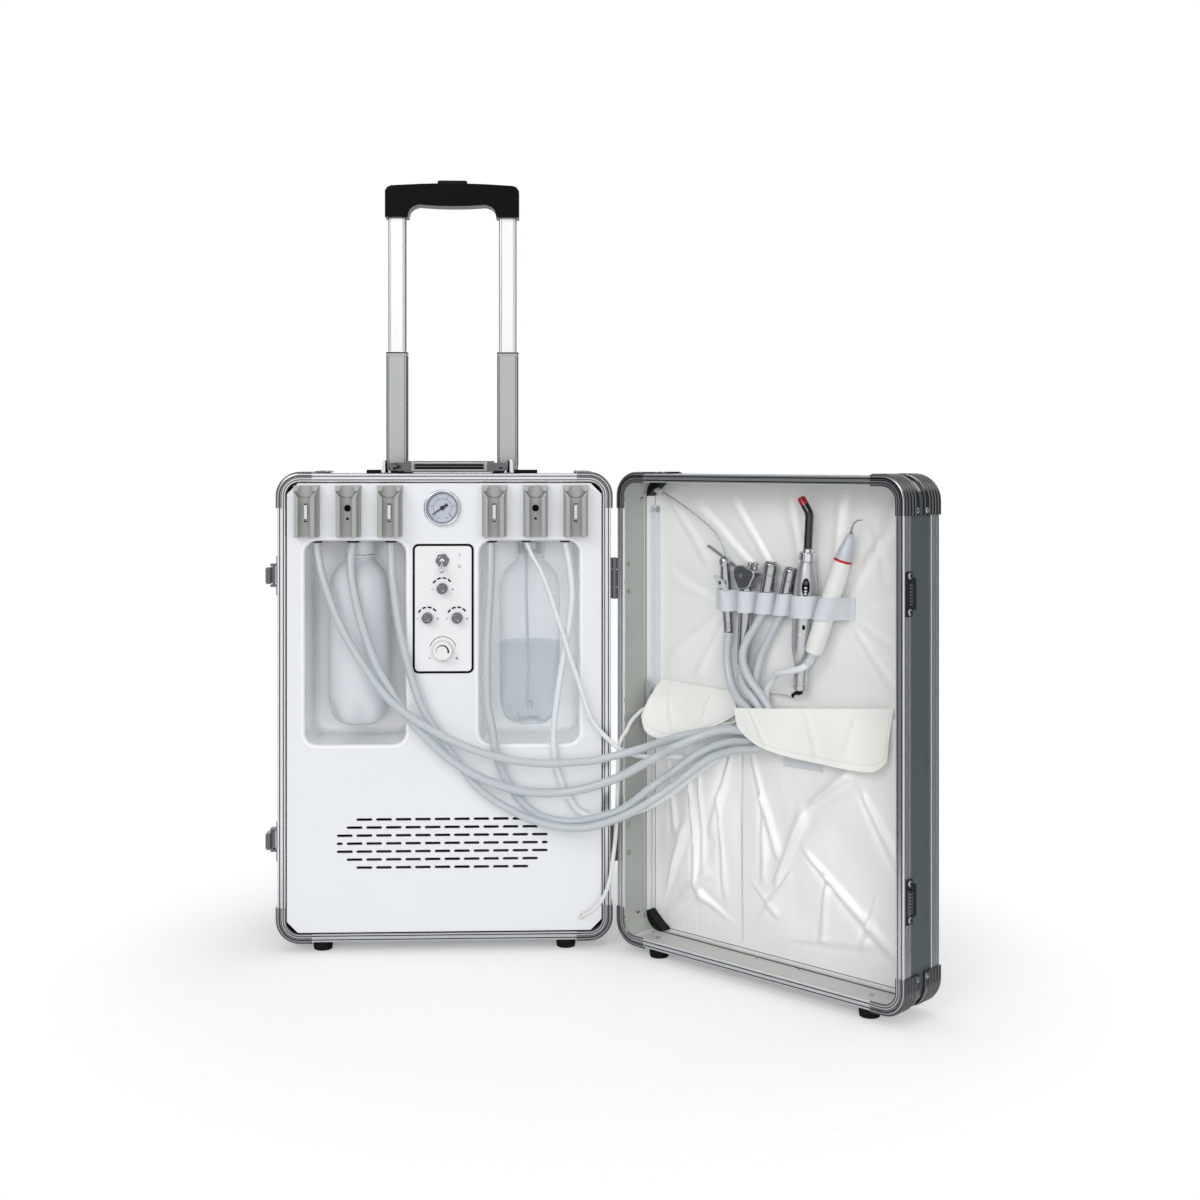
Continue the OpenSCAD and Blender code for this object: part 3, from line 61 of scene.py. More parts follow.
def C(x, y, z):
    return CASE @ Vector((x, y, z))


def L(u, v, z):
    return LID @ Vector((u, v, z))


def lid_of(p):
    """A point of the row frame, in the lid's frame."""
    return LID.inverted() @ Vector(p)


# ---------- materials ----------
def srgb(c):
    return [x / 12.92 if x <= 0.04045 else ((x + 0.055) / 1.055) ** 2.4 for x in c]


ONE = (1, 1, 1)


def mat(name, col, rough, metal, var, vscale, rvar, bumps, coat=0, sheen=0, stretch=ONE, spec=0.5, aniso=0):
    """A procedural material: colour and roughness vary with noise, and each of bumps adds relief.
    A bump is (kind, scale, strength, distance in mm), and its stretch if it has one."""
    m = bpy.data.materials.new(name)
    m.use_nodes = True
    nt = m.node_tree
    n, lk = nt.nodes, nt.links
    p = n["Principled BSDF"]
    tc = n.new("ShaderNodeTexCoord")

    def tex(kind, scale, st):
        mp = n.new("ShaderNodeMapping")
        mp.inputs["Scale"].default_value = st
        lk.new(tc.outputs["Object"], mp.inputs["Vector"])
        t = n.new("ShaderNodeTex" + kind.capitalize())
        t.inputs["Scale"].default_value = scale
        if kind == "wave":
            t.inputs["Distortion"].default_value = 0.4
        if kind == "noise":
            t.inputs["Detail"].default_value = 4
        lk.new(mp.outputs["Vector"], t.inputs["Vector"])
        return t.outputs["Distance" if kind == "voronoi" else "Fac"]

    c = srgb(col[:3])
    mix = n.new("ShaderNodeMix")
    mix.data_type = "RGBA"
    mix.inputs[6].default_value = [max(0, x * (1 - var)) for x in c] + [1]
    mix.inputs[7].default_value = [min(1, x * (1 + var)) for x in c] + [1]
    lk.new(tex("noise", vscale, stretch), mix.inputs[0])
    lk.new(mix.outputs[2], p.inputs["Base Color"])
    mr = n.new("ShaderNodeMapRange")
    mr.inputs["To Min"].default_value = max(0.02, rough - rvar)
    mr.inputs["To Max"].default_value = min(1, rough + rvar)
    lk.new(tex("noise", vscale * 3, stretch), mr.inputs["Value"])
    lk.new(mr.outputs["Result"], p.inputs["Roughness"])
    p.inputs["Metallic"].default_value = metal
    p.inputs["IOR"].default_value = 1.45
    p.inputs["Specular IOR Level"].default_value = spec
    if aniso:
        p.inputs["Anisotropic"].default_value = aniso
    if coat:
        p.inputs["Coat Weight"].default_value = coat
        p.inputs["Coat Roughness"].default_value = 0.06
    if sheen:
        p.inputs["Sheen Weight"].default_value = sheen
        p.inputs["Sheen Roughness"].default_value = 0.4
    last = None
    for kind, scale, strength, dist, *st in bumps:
        b = n.new("ShaderNodeBump")
        b.inputs["Strength"].default_value = strength
        b.inputs["Distance"].default_value = dist / 1000
        lk.new(tex(kind, scale, *(st or [ONE])), b.inputs["Height"])
        if last:
            lk.new(last, b.inputs["Normal"])
        last = b.outputs["Normal"]
    if last:
        lk.new(last, p.inputs["Normal"])
    return m


SKIN = mat("grained_skin", (0.36, 0.40, 0.41), 0.42, 0.25, 0.07, 60, 0.06,
           [("voronoi", 1400, 0.35, 0.08), ("noise", 25, 0.1, 0.4)])
INNER = mat("inner_wall", (0.68, 0.695, 0.67), 0.42, 0.1, 0.04, 30, 0.06, [("noise", 900, 0.2, 0.05)])
# the lid's upward-facing inner floor: a lighter copy of inner_wall, painted light from above
INNER_FLOOR_PAINTED_LIGHT = mat("inner_floor_painted_light", (0.80, 0.80, 0.785), 0.36, 0.1, 0.03, 30, 0.06, [("noise", 900, 0.15, 0.05)])
DARKCHROME = mat("dark_chrome", (0.42, 0.43, 0.435), 0.13, 1, 0.05, 80, 0.05, [("noise", 260, 0.05, 0.05)])
ALU = mat("satin_profile", (0.87, 0.88, 0.89), 0.2, 0.9, 0.03, 50, 0.05,
          [("noise", 500, 0.02, 0.02, (1, 1, 0.1))])
CHROME = mat("ridged_chrome", (0.86, 0.87, 0.88), 0.12, 1, 0.03, 80, 0.05, [("noise", 220, 0.05, 0.05)])
STEEL = mat("plated_steel", (0.68, 0.69, 0.70), 0.18, 1, 0.05, 90, 0.07, [("noise", 500, 0.08, 0.04)])
WHITE = mat("gloss_white", (0.925, 0.935, 0.95), 0.16, 0, 0.012, 12, 0.03,
            [("noise", 14, 0.05, 0.4), ("noise", 900, 0.03, 0.02)], coat=0.4)
# a brighter copy of the panel white for the recess walls: painted light that lifts the shade inside the recesses
BAY_PAINTED_LIGHT = mat("recess_white_painted_light", (0.975, 0.98, 0.985), 0.2, 0, 0.01, 12, 0.03, [("noise", 40, 0.05, 0.2)], coat=0.3)
PLATE = mat("printed_white", (0.94, 0.945, 0.95), 0.3, 0, 0.012, 30, 0.03, [("noise", 1200, 0.06, 0.02)])
GREY = mat("holder_grey", (0.66, 0.665, 0.655), 0.4, 0, 0.04, 70, 0.06, [("noise", 1800, 0.12, 0.03)])
DIAL = mat("dial_white", (0.80, 0.82, 0.855), 0.5, 0, 0.02, 200, 0.05, [("noise", 3000, 0.05, 0.02)])
INK = mat("black_print", (0.02, 0.02, 0.02), 0.5, 0, 0.1, 300, 0.05, [("noise", 2500, 0.05, 0.02)], spec=0.12)
KNOB = mat("knob_metal", (0.46, 0.47, 0.48), 0.28, 0.75, 0.06, 300, 0.08, [("noise", 1500, 0.15, 0.03)])
IVORY = mat("knob_white", (0.93, 0.93, 0.92), 0.25, 0, 0.015, 100, 0.04, [("noise", 1500, 0.05, 0.02)], coat=0.3)
BLACK = mat("moulded_black", (0.055, 0.055, 0.06), 0.32, 0, 0.12, 60, 0.07, [("noise", 2200, 0.12, 0.04)],
    spec=0.18)
SOFTBLACK = mat("grip_black", (0.03, 0.03, 0.032), 0.3, 0, 0.1, 80, 0.06, [("voronoi", 1700, 0.1, 0.03)], spec=0.1)
RUBBER = mat("foot_rubber", (0.07, 0.07, 0.07), 0.72, 0, 0.12, 90, 0.08, [("noise", 1500, 0.3, 0.08)], spec=0.2)
TUBE = mat("brushed_tube", (0.72, 0.73, 0.735), 0.28, 1, 0.05, 160, 0.06,
           [("noise", 500, 0.1, 0.04, (1, 1, 0.02))], stretch=(1, 1, 0.03), aniso=0.3)
TUBE2 = mat("bright_tube", (0.95, 0.955, 0.96), 0.3, 0.8, 0.03, 160, 0.05,
            [("noise", 500, 0.06, 0.03, (1, 1, 0.02))], stretch=(1, 1, 0.03))
SATIN = mat("off_white_satin", (0.972, 0.973, 0.966), 0.44, 0.16, 0.015, 14, 0.07,
            [("noise", 900, 0.06, 0.04, (1, 1, 3)), ("noise", 28, 0.12, 0.9, (1, 1, 0.6))], sheen=0.15)
FLAP = mat("flap_satin", (0.945, 0.945, 0.925), 0.45, 0, 0.015, 20, 0.06,
           [("noise", 1400, 0.08, 0.04, (1, 1, 3)), ("noise", 30, 0.12, 0.8)], sheen=0.2)
WEB = mat("strap_webbing", (0.84, 0.86, 0.88), 0.8, 0, 0.05, 500, 0.06,
          [("wave", 1300, 0.3, 0.12, (0.6, 0.6, 1)), ("noise", 1800, 0.4, 0.12)], sheen=0.3)
THREAD = mat("white_thread", (0.90, 0.90, 0.89), 0.7, 0, 0.06, 900, 0.06, [("noise", 3000, 0.3, 0.05)])
TOOL = mat("satin_tool", (0.72, 0.73, 0.74), 0.2, 1, 0.04, 120, 0.05, [("noise", 900, 0.05, 0.03)])
SILVER = mat("silver_lacquer", (0.76, 0.77, 0.78), 0.25, 0.7, 0.03, 90, 0.05, [("noise", 2500, 0.05, 0.02)],
             coat=0.5)
PEARL = mat("lever_grey", (0.80, 0.82, 0.84), 0.3, 0.1, 0.03, 120, 0.05, [("noise", 1500, 0.05, 0.02)])
WAND = mat("scaler_white", (0.925, 0.925, 0.91), 0.3, 0, 0.015, 60, 0.05, [("noise", 1500, 0.05, 0.02)], coat=0.2)
NOSE = mat("nose_grey", (0.78, 0.80, 0.83), 0.3, 0.1, 0.03, 120, 0.05, [("noise", 1500, 0.05, 0.02)])
RED = mat("red_ring", (0.75, 0.13, 0.14), 0.35, 0, 0.06, 200, 0.05, [("noise", 1500, 0.05, 0.02)])
GLASSBLACK = mat("guide_coating", (0.04, 0.035, 0.04), 0.08, 0, 0.1, 80, 0.03, [("noise", 400, 0.04, 0.03)], coat=1)
GLASSRED = mat("guide_tip", (0.66, 0.06, 0.09), 0.1, 0, 0.2, 200, 0.03, [("noise", 400, 0.04, 0.03)], coat=1)
HOSE = mat("hose_grey", (0.76, 0.783, 0.80), 0.22, 0, 0.02, 25, 0.04, [("noise", 700, 0.03, 0.03)], coat=0.4)
HOSE_WHITE = mat("hose_white", (0.90, 0.915, 0.93), 0.22, 0, 0.015, 25, 0.04, [("noise", 700, 0.03, 0.03)],
    coat=0.4)
CORD = mat("cord_white", (0.90, 0.90, 0.89), 0.4, 0, 0.02, 60, 0.05, [("noise", 900, 0.08, 0.04)])
MILKY = mat("milky_plastic", (0.85, 0.87, 0.885), 0.3, 0, 0.02, 25, 0.05, [("noise", 60, 0.1, 0.3)], coat=0.2)
DARK = mat("machine_paint", (0.28, 0.30, 0.32), 0.5, 0.3, 0.06, 60, 0.08, [("noise", 900, 0.2, 0.06)])


def see_through(m, col, edge=0.55, base=0.06):
    """Turns a material into a thin clear wall: it lets light through and gleams at its edges."""
    nt = m.node_tree
    n, lk = nt.nodes, nt.links
    p = n["Principled BSDF"]
    tr = n.new("ShaderNodeBsdfTransparent")
    tr.inputs["Color"].default_value = (*srgb(col), 1)
    lw = n.new("ShaderNodeLayerWeight")
    lw.inputs["Blend"].default_value = 0.35
    mr = n.new("ShaderNodeMapRange")
    mr.inputs["From Min"].default_value = 0.25
    mr.inputs["To Min"].default_value = base
    mr.inputs["To Max"].default_value = edge
    mx = n.new("ShaderNodeMixShader")
    lk.new(lw.outputs["Facing"], mr.inputs["Value"])
    lk.new(mr.outputs["Result"], mx.inputs[0])
    lk.new(tr.outputs[0], mx.inputs[1])
    lk.new(p.outputs[0], mx.inputs[2])
    lk.new(mx.outputs[0], n["Material Output"].inputs["Surface"])


CLEAR = mat("clear_plastic", (0.92, 0.94, 0.955), 0.08, 0, 0.02, 30, 0.03, [("noise", 60, 0.15, 0.4)], coat=0.5)
see_through(CLEAR, (0.995, 0.998, 1), 0.8, 0.035)
GLASS = mat("dial_glass", (0.9, 0.92, 0.94), 0.05, 0, 0.01, 30, 0.02, [("noise", 90, 0.02, 0.05)], coat=0.5)
see_through(GLASS, (0.99, 0.99, 0.995), 0.5, 0.03)
WATER = mat("water", (0.90, 0.925, 0.945), 0.05, 0, 0.02, 30, 0.02, [("noise", 90, 0.03, 0.1)])
see_through(WATER, (0.988, 0.994, 0.998), 0.5, 0.05)


# ---------- geometry helpers ----------
def link(o):
    scene.collection.objects.link(o)
    return o


def finish_mesh(bm, name, materials, body, angle=38, weighted=True, replaces=()):
    """bm becomes a piece: smooth, sharp where faces meet at more than angle, riding on body."""
    me = bpy.data.meshes.new(name)
    for f in bm.faces:
        f.smooth = True
    bm.to_mesh(me)
    bm.free()
    me.set_sharp_from_angle(angle=math.radians(angle))
    for m in materials if isinstance(materials, (list, tuple)) else [materials]:
        me.materials.append(m)
    o = link(bpy.data.objects.new(name, me))
    if weighted:
        w = o.modifiers.new("weighted", "WEIGHTED_NORMAL")
        w.keep_sharp = True
    if body:
        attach(o, body)
    if replaces:
        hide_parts(*replaces)
    return o


# degrees between two faces from which their edge is rounded
ROUNDED = 30


def round_edges(bm, bevel, seg, min_angle=ROUNDED):
    es = [e for e in bm.edges if len(e.link_faces) == 2 and e.calc_face_angle(0) > math.radians(min_angle)]
    bmesh.ops.bevel(bm, geom=es, offset=bevel / 1000, offset_type="OFFSET", segments=seg, profile=0.5,
                    affect="EDGES", clamp_overlap=True)


def make(name, vf, materials, body, m, angle=38, bevel=0, seg=2, replaces=(), idx=None, weighted=True,
         recalc=True):
    """A piece from (vertices, faces), in millimetres of the frame m; bevel in millimetres."""
    bm = bmesh.new()
    vs = [bm.verts.new(m @ Vector(v)) for v in vf[0]]
    for k, f in enumerate(vf[1]):
        if len(set(f)) > 2:
            try:
                nf = bm.faces.new([vs[i] for i in f])
                if idx:
                    nf.material_index = idx[k]
            except ValueError:
                pass
    if recalc:
        bmesh.ops.remove_doubles(bm, verts=bm.verts, dist=2e-6)
        bmesh.ops.recalc_face_normals(bm, faces=bm.faces)
    if bevel:
        round_edges(bm, bevel, seg)
    return finish_mesh(bm, name, materials, body, angle, weighted, replaces)


def join(*parts):
    """Several (vertices, faces) as one."""
    V, F = [], []
    for v, f in parts:
        k = len(V)
        V += [tuple(p) for p in v]
        F += [tuple(i + k for i in q) for q in f]
    return V, F


def moved(vf, m):
    return [tuple(m @ Vector(v)) for v in vf[0]], vf[1]


def box(x0, x1, y0, y1, z0, z1):
    v = [(x, y, z) for x in (x0, x1) for y in (y0, y1) for z in (z0, z1)]
    return v, [(0, 1, 3, 2), (4, 6, 7, 5), (0, 4, 5, 1), (2, 3, 7, 6), (0, 2, 6, 4), (1, 5, 7, 3)]


def lathe(p, n=48, shape=None):
    """A turned shape about z from (z, r) pairs; a radius of 0 closes it. shape(a, z, r) may change a radius."""
    V, F, rings = [], [], []
    for z, r in p:
        if r < 1e-6:
            rings.append([len(V)])
            V.append((0, 0, z))
        else:
            rings.append(list(range(len(V), len(V) + n)))
            for k in range(n):
                a = 2 * math.pi * k / n
                q = shape(a, z, r) if shape else r
                V.append((q * math.cos(a), q * math.sin(a), z))
    for a, b in zip(rings, rings[1:]):
        for k in range(n):
            j = (k + 1) % n
            if len(a) == 1 and len(b) == 1:
                continue
            if len(a) == 1:
                F.append((a[0], b[j], b[k]))
            elif len(b) == 1:
                F.append((a[k], a[j], b[0]))
            else:
                F.append((a[k], a[j], b[j], b[k]))
    if len(rings[0]) > 1:
        F.append(tuple(reversed(rings[0])))
    if len(rings[-1]) > 1:
        F.append(tuple(rings[-1]))
    return V, F


def rrect(w, h, r, n=6):
    """Points round a rounded rectangle, centred."""
    out = []
    for cx, cy, a0 in ((w / 2 - r, h / 2 - r, 0), (-w / 2 + r, h / 2 - r, 90), (-w / 2 + r, -h / 2 + r, 180),
                       (w / 2 - r, -h / 2 + r, 270)):
        for k in range(n + 1):
            a = math.radians(a0 + 90 * k / n)
            out.append((cx + r * math.cos(a), cy + r * math.sin(a)))
    return out


def prism(loop, z0, z1):
    n = len(loop)
    V = [(x, y, z0) for x, y in loop] + [(x, y, z1) for x, y in loop]
    F = [(k, (k + 1) % n, (k + 1) % n + n, k + n) for k in range(n)]
    return V, F + [tuple(range(n - 1, -1, -1)), tuple(range(n, 2 * n))]


def ring_prism(outer, inner, z0, z1):
    """A flat ring between two loops with the same number of points."""
    n = len(outer)
    V = [(x, y, z) for lp in (outer, inner) for z in (z0, z1) for x, y in lp]
    F = []
    for k in range(n):
        j = (k + 1) % n
        F += [(k, j, j + n, k + n), (k + 2 * n, k + 3 * n, j + 3 * n, j + 2 * n),
              (k + n, j + n, j + 3 * n, k + 3 * n), (k, k + 2 * n, j + 2 * n, j)]
    return V, F


def along(a, b):
    """The frame that lays a child's +Z from a towards b, in whatever frame a and b are in."""
    a, b = Vector(a), Vector(b)
    d = (b - a).normalized()
    return Matrix.Translation(a) @ Matrix.Rotation(math.atan2(d.y, d.x), 4, "Z") @ \
        Matrix.Rotation(math.acos(max(-1, min(1, d.z))), 4, "Y")


OUT = Matrix.Rotation(math.pi / 2, 4, "X")


def out_of_panel(x, z, y=0):
    """A child's +Z points to the viewer, out of the panel at x, z."""
    return Matrix.Translation((x, y, z)) @ OUT


def spline(p, n=8):
    q = []
    p = [Vector(a) for a in p]
    for i in range(len(p) - 1):
        a, b, c, d = p[max(i - 1, 0)], p[i], p[i + 1], p[min(i + 2, len(p) - 1)]
        for k in range(n):
            t = k / n
            q.append(0.5 * (2 * b + (c - a) * t + (2 * a - 5 * b + 4 * c - d) * t * t
                            + (3 * b - 3 * c + d - a) * t ** 3))
    return q + [p[-1]]


def sweep(q, rad, n):
    """A closed tube along the points q, with parallel frames. rad is a number or a list."""
    q = [Vector(p) for p in q]
    sec = [(math.cos(2 * math.pi * k / n), math.sin(2 * math.pi * k / n)) for k in range(n)]
    V, F = [], []
    t0 = (q[1] - q[0]).normalized()
    up = Vector((0, 0, 1)) if abs(t0.z) < 0.9 else Vector((1, 0, 0))
    b = t0.cross(up).normalized()
    for i, p in enumerate(q):
        t = (q[min(i + 1, len(q) - 1)] - q[max(i - 1, 0)]).normalized()
        b = (b - t * b.dot(t)).normalized()
        c = t.cross(b)
        r = rad[i] if isinstance(rad, (list, tuple)) else rad
        V += [tuple(p + r * (b * x + c * y)) for x, y in sec]
    for i in range(len(q) - 1):
        for k in range(n):
            j = (k + 1) % n
            F.append((i * n + k, i * n + j, (i + 1) * n + j, (i + 1) * n + k))
    return V, F + [tuple(range(n - 1, -1, -1)), tuple(range((len(q) - 1) * n, len(q) * n))]


def strip_along(q, normal_of, w, t):
    """A flat ribbon of width w and thickness t along q; normal_of(i) is its outward normal."""
    V, F = [], []
    q = [Vector(p) for p in q]
    for i, p in enumerate(q):
        d = (q[min(i + 1, len(q) - 1)] - q[max(i - 1, 0)]).normalized()
        nn = Vector(normal_of(i)).normalized()
        s = d.cross(nn).normalized() * w / 2
        V += [tuple(p + s), tuple(p + s + nn * t), tuple(p - s + nn * t), tuple(p - s)]
    for i in range(len(q) - 1):
        a, b = 4 * i, 4 * i + 4
        for k in range(4):
            j = (k + 1) % 4
            F.append((a + k, a + j, b + j, b + k))
    k = 4 * (len(q) - 1)
    return V, F + [(3, 2, 1, 0), (k, k + 1, k + 2, k + 3)]


def dress(node, material, bevel, seg, angle=38, min_angle=ROUNDED, sort=None):
    """A CAD node's shape with its flat facets merged and its edges rounded, in place of the node."""
    bm = bmesh.new()
    bm.from_mesh(frame["nodes"][node].data)
    bmesh.ops.remove_doubles(bm, verts=bm.verts, dist=2e-6)
    bmesh.ops.dissolve_limit(bm, angle_limit=math.radians(0.6), verts=bm.verts, edges=bm.edges)
    bm.normal_update()
    for f in bm.faces:
        f.material_index = sort(f) if sort else 0
    round_edges(bm, bevel, seg, min_angle)
    return finish_mesh(bm, node + "_form", material, BODY[node], angle, replaces=(node,))


# ---------- camera, light and floor ----------
cam_data = bpy.data.cameras.new("camera")
cam = link(bpy.data.objects.new("camera", cam_data))
cam.location = (-0.0421, -1.786, 0.5659)
cam.rotation_euler = (math.pi / 2, 0, -0.03627)
cam_data.sensor_width = 36
cam_data.lens = 47.30
cam_data.shift_y = -0.1178
cam_data.clip_start = 0.05
cam_data.clip_end = 60
scene.camera = cam
scene.view_settings.view_transform = "Standard"

world = bpy.data.worlds.new("studio")
scene.world = world
world.use_nodes = True
wn, wl = world.node_tree.nodes, world.node_tree.links
for x in list(wn):
    wn.remove(x)
w_out = wn.new("ShaderNodeOutputWorld")
w_mix = wn.new("ShaderNodeMixShader")
w_lit = wn.new("ShaderNodeBackground")
w_seen = wn.new("ShaderNodeBackground")
w_path = wn.new("ShaderNodeLightPath")
w_lit.inputs["Color"].default_value = (0.97, 0.985, 1, 1)
w_lit.inputs["Strength"].default_value = 0.44
w_seen.inputs["Strength"].default_value = 1
# metal and glass also see the dark sides of the studio
w_co = wn.new("ShaderNodeTexCoord")
w_xyz = wn.new("ShaderNodeSeparateXYZ")
w_abs = wn.new("ShaderNodeMath")
w_abs.operation = "ABSOLUTE"
wl.new(w_co.outputs["Generated"], w_xyz.inputs[0])
wl.new(w_xyz.outputs["X"], w_abs.inputs[0])


def w_step(src, a, b, hi=1.0):
    q = wn.new("ShaderNodeMapRange")
    q.interpolation_type = "SMOOTHSTEP"
    q.inputs["From Min"].default_value = a
    q.inputs["From Max"].default_value = b
    q.inputs["To Max"].default_value = hi
    wl.new(src, q.inputs["Value"])
    return q.outputs["Result"]


def w_math(op, a, b):
    q = wn.new("ShaderNodeMath")
    q.operation = op
    wl.new(a, q.inputs[0])
    wl.new(b, q.inputs[1])
    return q.outputs[0]


w_side = w_math("MULTIPLY", w_step(w_abs.outputs[0], 0.76, 0.92),
                w_math("MULTIPLY", w_step(w_xyz.outputs["Z"], -0.5, -0.3), w_step(w_xyz.outputs["Z"], 0.62, 0.42)))
w_top = w_math("MULTIPLY", w_step(w_xyz.outputs["Z"], 0.66, 0.76, 0.8), w_step(w_xyz.outputs["Z"], 0.95, 0.88))
w_dark = w_math("MULTIPLY", w_math("MAXIMUM", w_side, w_top), w_path.outputs["Is Glossy Ray"])
w_col = wn.new("ShaderNodeMix")
w_col.data_type = "RGBA"
w_col.inputs[6].default_value = (1, 1, 1, 1)
w_col.inputs[7].default_value = (0.13, 0.137, 0.142, 1)
wl.new(w_dark, w_col.inputs[0])
wl.new(w_col.outputs[2], w_seen.inputs["Color"])
w_seen_by = w_math("MAXIMUM", w_path.outputs["Is Camera Ray"], w_path.outputs["Is Glossy Ray"])
wl.new(w_math("MAXIMUM", w_seen_by, w_path.outputs["Is Transmission Ray"]), w_mix.inputs[0])
wl.new(w_lit.outputs[0], w_mix.inputs[1])
wl.new(w_seen.outputs[0], w_mix.inputs[2])
wl.new(w_mix.outputs[0], w_out.inputs["Surface"])


def lamp(name, loc, target, size, power):
    d = bpy.data.lights.new(name, "AREA")
    d.shape = "RECTANGLE"
    d.size, d.size_y = size
    d.energy = power
    o = link(bpy.data.objects.new(name, d))
    o.location = loc
    o.rotation_euler = (Vector(target) - Vector(loc)).to_track_quat("-Z", "Y").to_euler()
    return o


lamp("key", (-1.7, -2.6, 2.1), (0, 0, 0.4), (1.5, 1.2), 23)
lamp("front", (0.1, -3.4, 0.95), (0, 0, 0.35), (2.6, 1.4), 52).visible_glossy = False
lamp("top", (0.2, 0.2, 3.0), (0, 0, 0.3), (2.2, 1.6), 14)


def floor():
    bm = bmesh.new()
    bmesh.ops.create_circle(bm, cap_ends=True, segments=96, radius=3.0)
    me = bpy.data.meshes.new("floor")
    bm.to_mesh(me)
    bm.free()
    o = link(bpy.data.objects.new("floor", me))
    o.location = (0.0, 0.0, -0.0005)
    m = bpy.data.materials.new("studio_floor")
    m.use_nodes = True
    n, lk = m.node_tree.nodes, m.node_tree.links
    p = n["Principled BSDF"]
    p.inputs["Base Color"].default_value = (0.82, 0.82, 0.82, 1)
    lp = n.new("ShaderNodeLightPath")
    em = n.new("ShaderNodeMath")
    em.operation = "MULTIPLY"
    em.inputs[1].default_value = 0.28
    lk.new(lp.outputs["Is Camera Ray"], em.inputs[0])
    p.inputs["Emission Color"].default_value = (1, 1, 1, 1)
    lk.new(em.outputs[0], p.inputs["Emission Strength"])
    p.inputs["Roughness"].default_value = 0.9
    p.inputs["Specular IOR Level"].default_value = 0.0
    tc = n.new("ShaderNodeTexCoord")
    ln = n.new("ShaderNodeVectorMath")
    ln.operation = "LENGTH"
    mr = n.new("ShaderNodeMapRange")
    mr.interpolation_type = "SMOOTHSTEP"
    mr.inputs["From Min"].default_value = 0.3
    mr.inputs["From Max"].default_value = 0.62
    tr = n.new("ShaderNodeBsdfTransparent")
    mx = n.new("ShaderNodeMixShader")
    lk.new(tc.outputs["Object"], ln.inputs[0])
    lk.new(ln.outputs["Value"], mr.inputs["Value"])
    lk.new(mr.outputs["Result"], mx.inputs[0])
    lk.new(p.outputs[0], mx.inputs[1])
    lk.new(tr.outputs[0], mx.inputs[2])
    lk.new(mx.outputs[0], n["Material Output"].inputs["Surface"])
    me.materials.append(m)


floor()


# ---------- edge profiles and corner caps, swept round the rounded outline of the case ----------
W, H, CR, MZ, CAP = 380, 535, 24, 279.5, 38
LIDX = LID @ Matrix.Translation((195.6, 0, 0))


def rim(profile, dark, cx=0):
    """profile is a closed list of (outward, depth); dark says which stretches are inked black, painted shade at the
    bottom of the grooves.
    """
    V, F, idx = [], [], []
    n = 9
    for t, y in profile:
        V += [(x, y, z + MZ) for x, z in rrect(W + 2 * t, H + 2 * t, CR + t, n)]
    k, p = 4 * (n + 1), len(profile)
    for i in range(p):
        j = (i + 1) % p
        for a in range(k):
            b = (a + 1) % k
            F.append((i * k + a, i * k + b, j * k + b, j * k + a))
            idx.append(1 if dark(profile[i], profile[j]) else 0)
    return V, F, idx


def cap(profile, dark, sx, sz, ln=CAP):
    V, F, idx = [], [], []
    n = 11
    for t, y in profile:
        pts = [(W / 2 - ln, H / 2 + t)]
        for k in range(n):
            a = math.radians(90 - 9 * k)
            pts.append((W / 2 - CR + (CR + t) * math.cos(a), H / 2 - CR + (CR + t) * math.sin(a)))
        pts.append((W / 2 + t, H / 2 - ln))
        V += [(sx * x, y, MZ + sz * z) for x, z in pts]
    k, p = n + 2, len(profile)
    for i in range(p):
        j = (i + 1) % p
        for a in range(k - 1):
            F.append((i * k + a, i * k + a + 1, j * k + a + 1, j * k + a))
            idx.append(1 if dark(profile[i], profile[j]) else 0)
    F += [tuple(i * k for i in range(p)), tuple(i * k + k - 1 for i in reversed(range(p)))]
    return V, F, idx + [0, 0]


GW = 0.85


def groove_line(ts, y, out, w=GW, d=0.5):
    """Grooves at the places ts of a face at y, walked from the outside in."""
    q = []
    for t in ts:
        q += [(t + w / 2 + 0.15, y), (t + w / 2, y + out * d), (t - w / 2, y + out * d), (t - w / 2 - 0.15, y)]
    return q


def rib_line(ys, t, w=2.1, h=0.8):
    q = []
    for y in ys:
        q += [(t, y + w / 2 + 0.35), (t + h, y + w / 2 - 0.2), (t + h, y - w / 2 + 0.2), (t, y - w / 2 - 0.35)]
    return q


def side_grooves(ys, t=1.6, w=0.9, d=0.45):
    q = []
    for y in ys:
        q += [(t, y + w / 2 + 0.15), (t - d, y + w / 2), (t - d, y - w / 2), (t, y - w / 2 - 0.15)]
    return q


def groove_floor_painted_shade(a, b):
    """A stretch at the bottom of a groove of the front face or of the side, where black ink stands in as painted
    shade.
    """
    return (abs(a[1] - b[1]) < 1e-6 and abs(abs(a[0] - b[0]) - GW) < 1e-6) or \
        (abs(a[0] - b[0]) < 1e-6 and abs(abs(a[1] - b[1]) - 0.9) < 1e-6)


RIM = [(0, 14), (1.2, 14), (1.6, 13.6)] + side_grooves([10.2, 5.2]) + [(1.6, 1.2), (1.25, 0.6), (0.6, 0.3)] + \
    groove_line([-1.3, -5.6], 0.3, 1) + [(-7.4, 0.3), (-8, 0.7), (-8, 1.5), (0, 1.5)]
RIM_CAP = [(0, 28), (2.5, 28), (3, 27.4)] + rib_line([20.75, 15.25, 9.75, 4.25], 3) + \
    [(3, 1.1), (2.6, 0.4), (2.0, 0.1)] + groove_line([0.9, -1.6, -4.1, -6.6], 0.1, 1) + \
    [(-8.2, 0.1), (-8.7, 0.5), (-8.7, 1.5), (0, 1.5)]


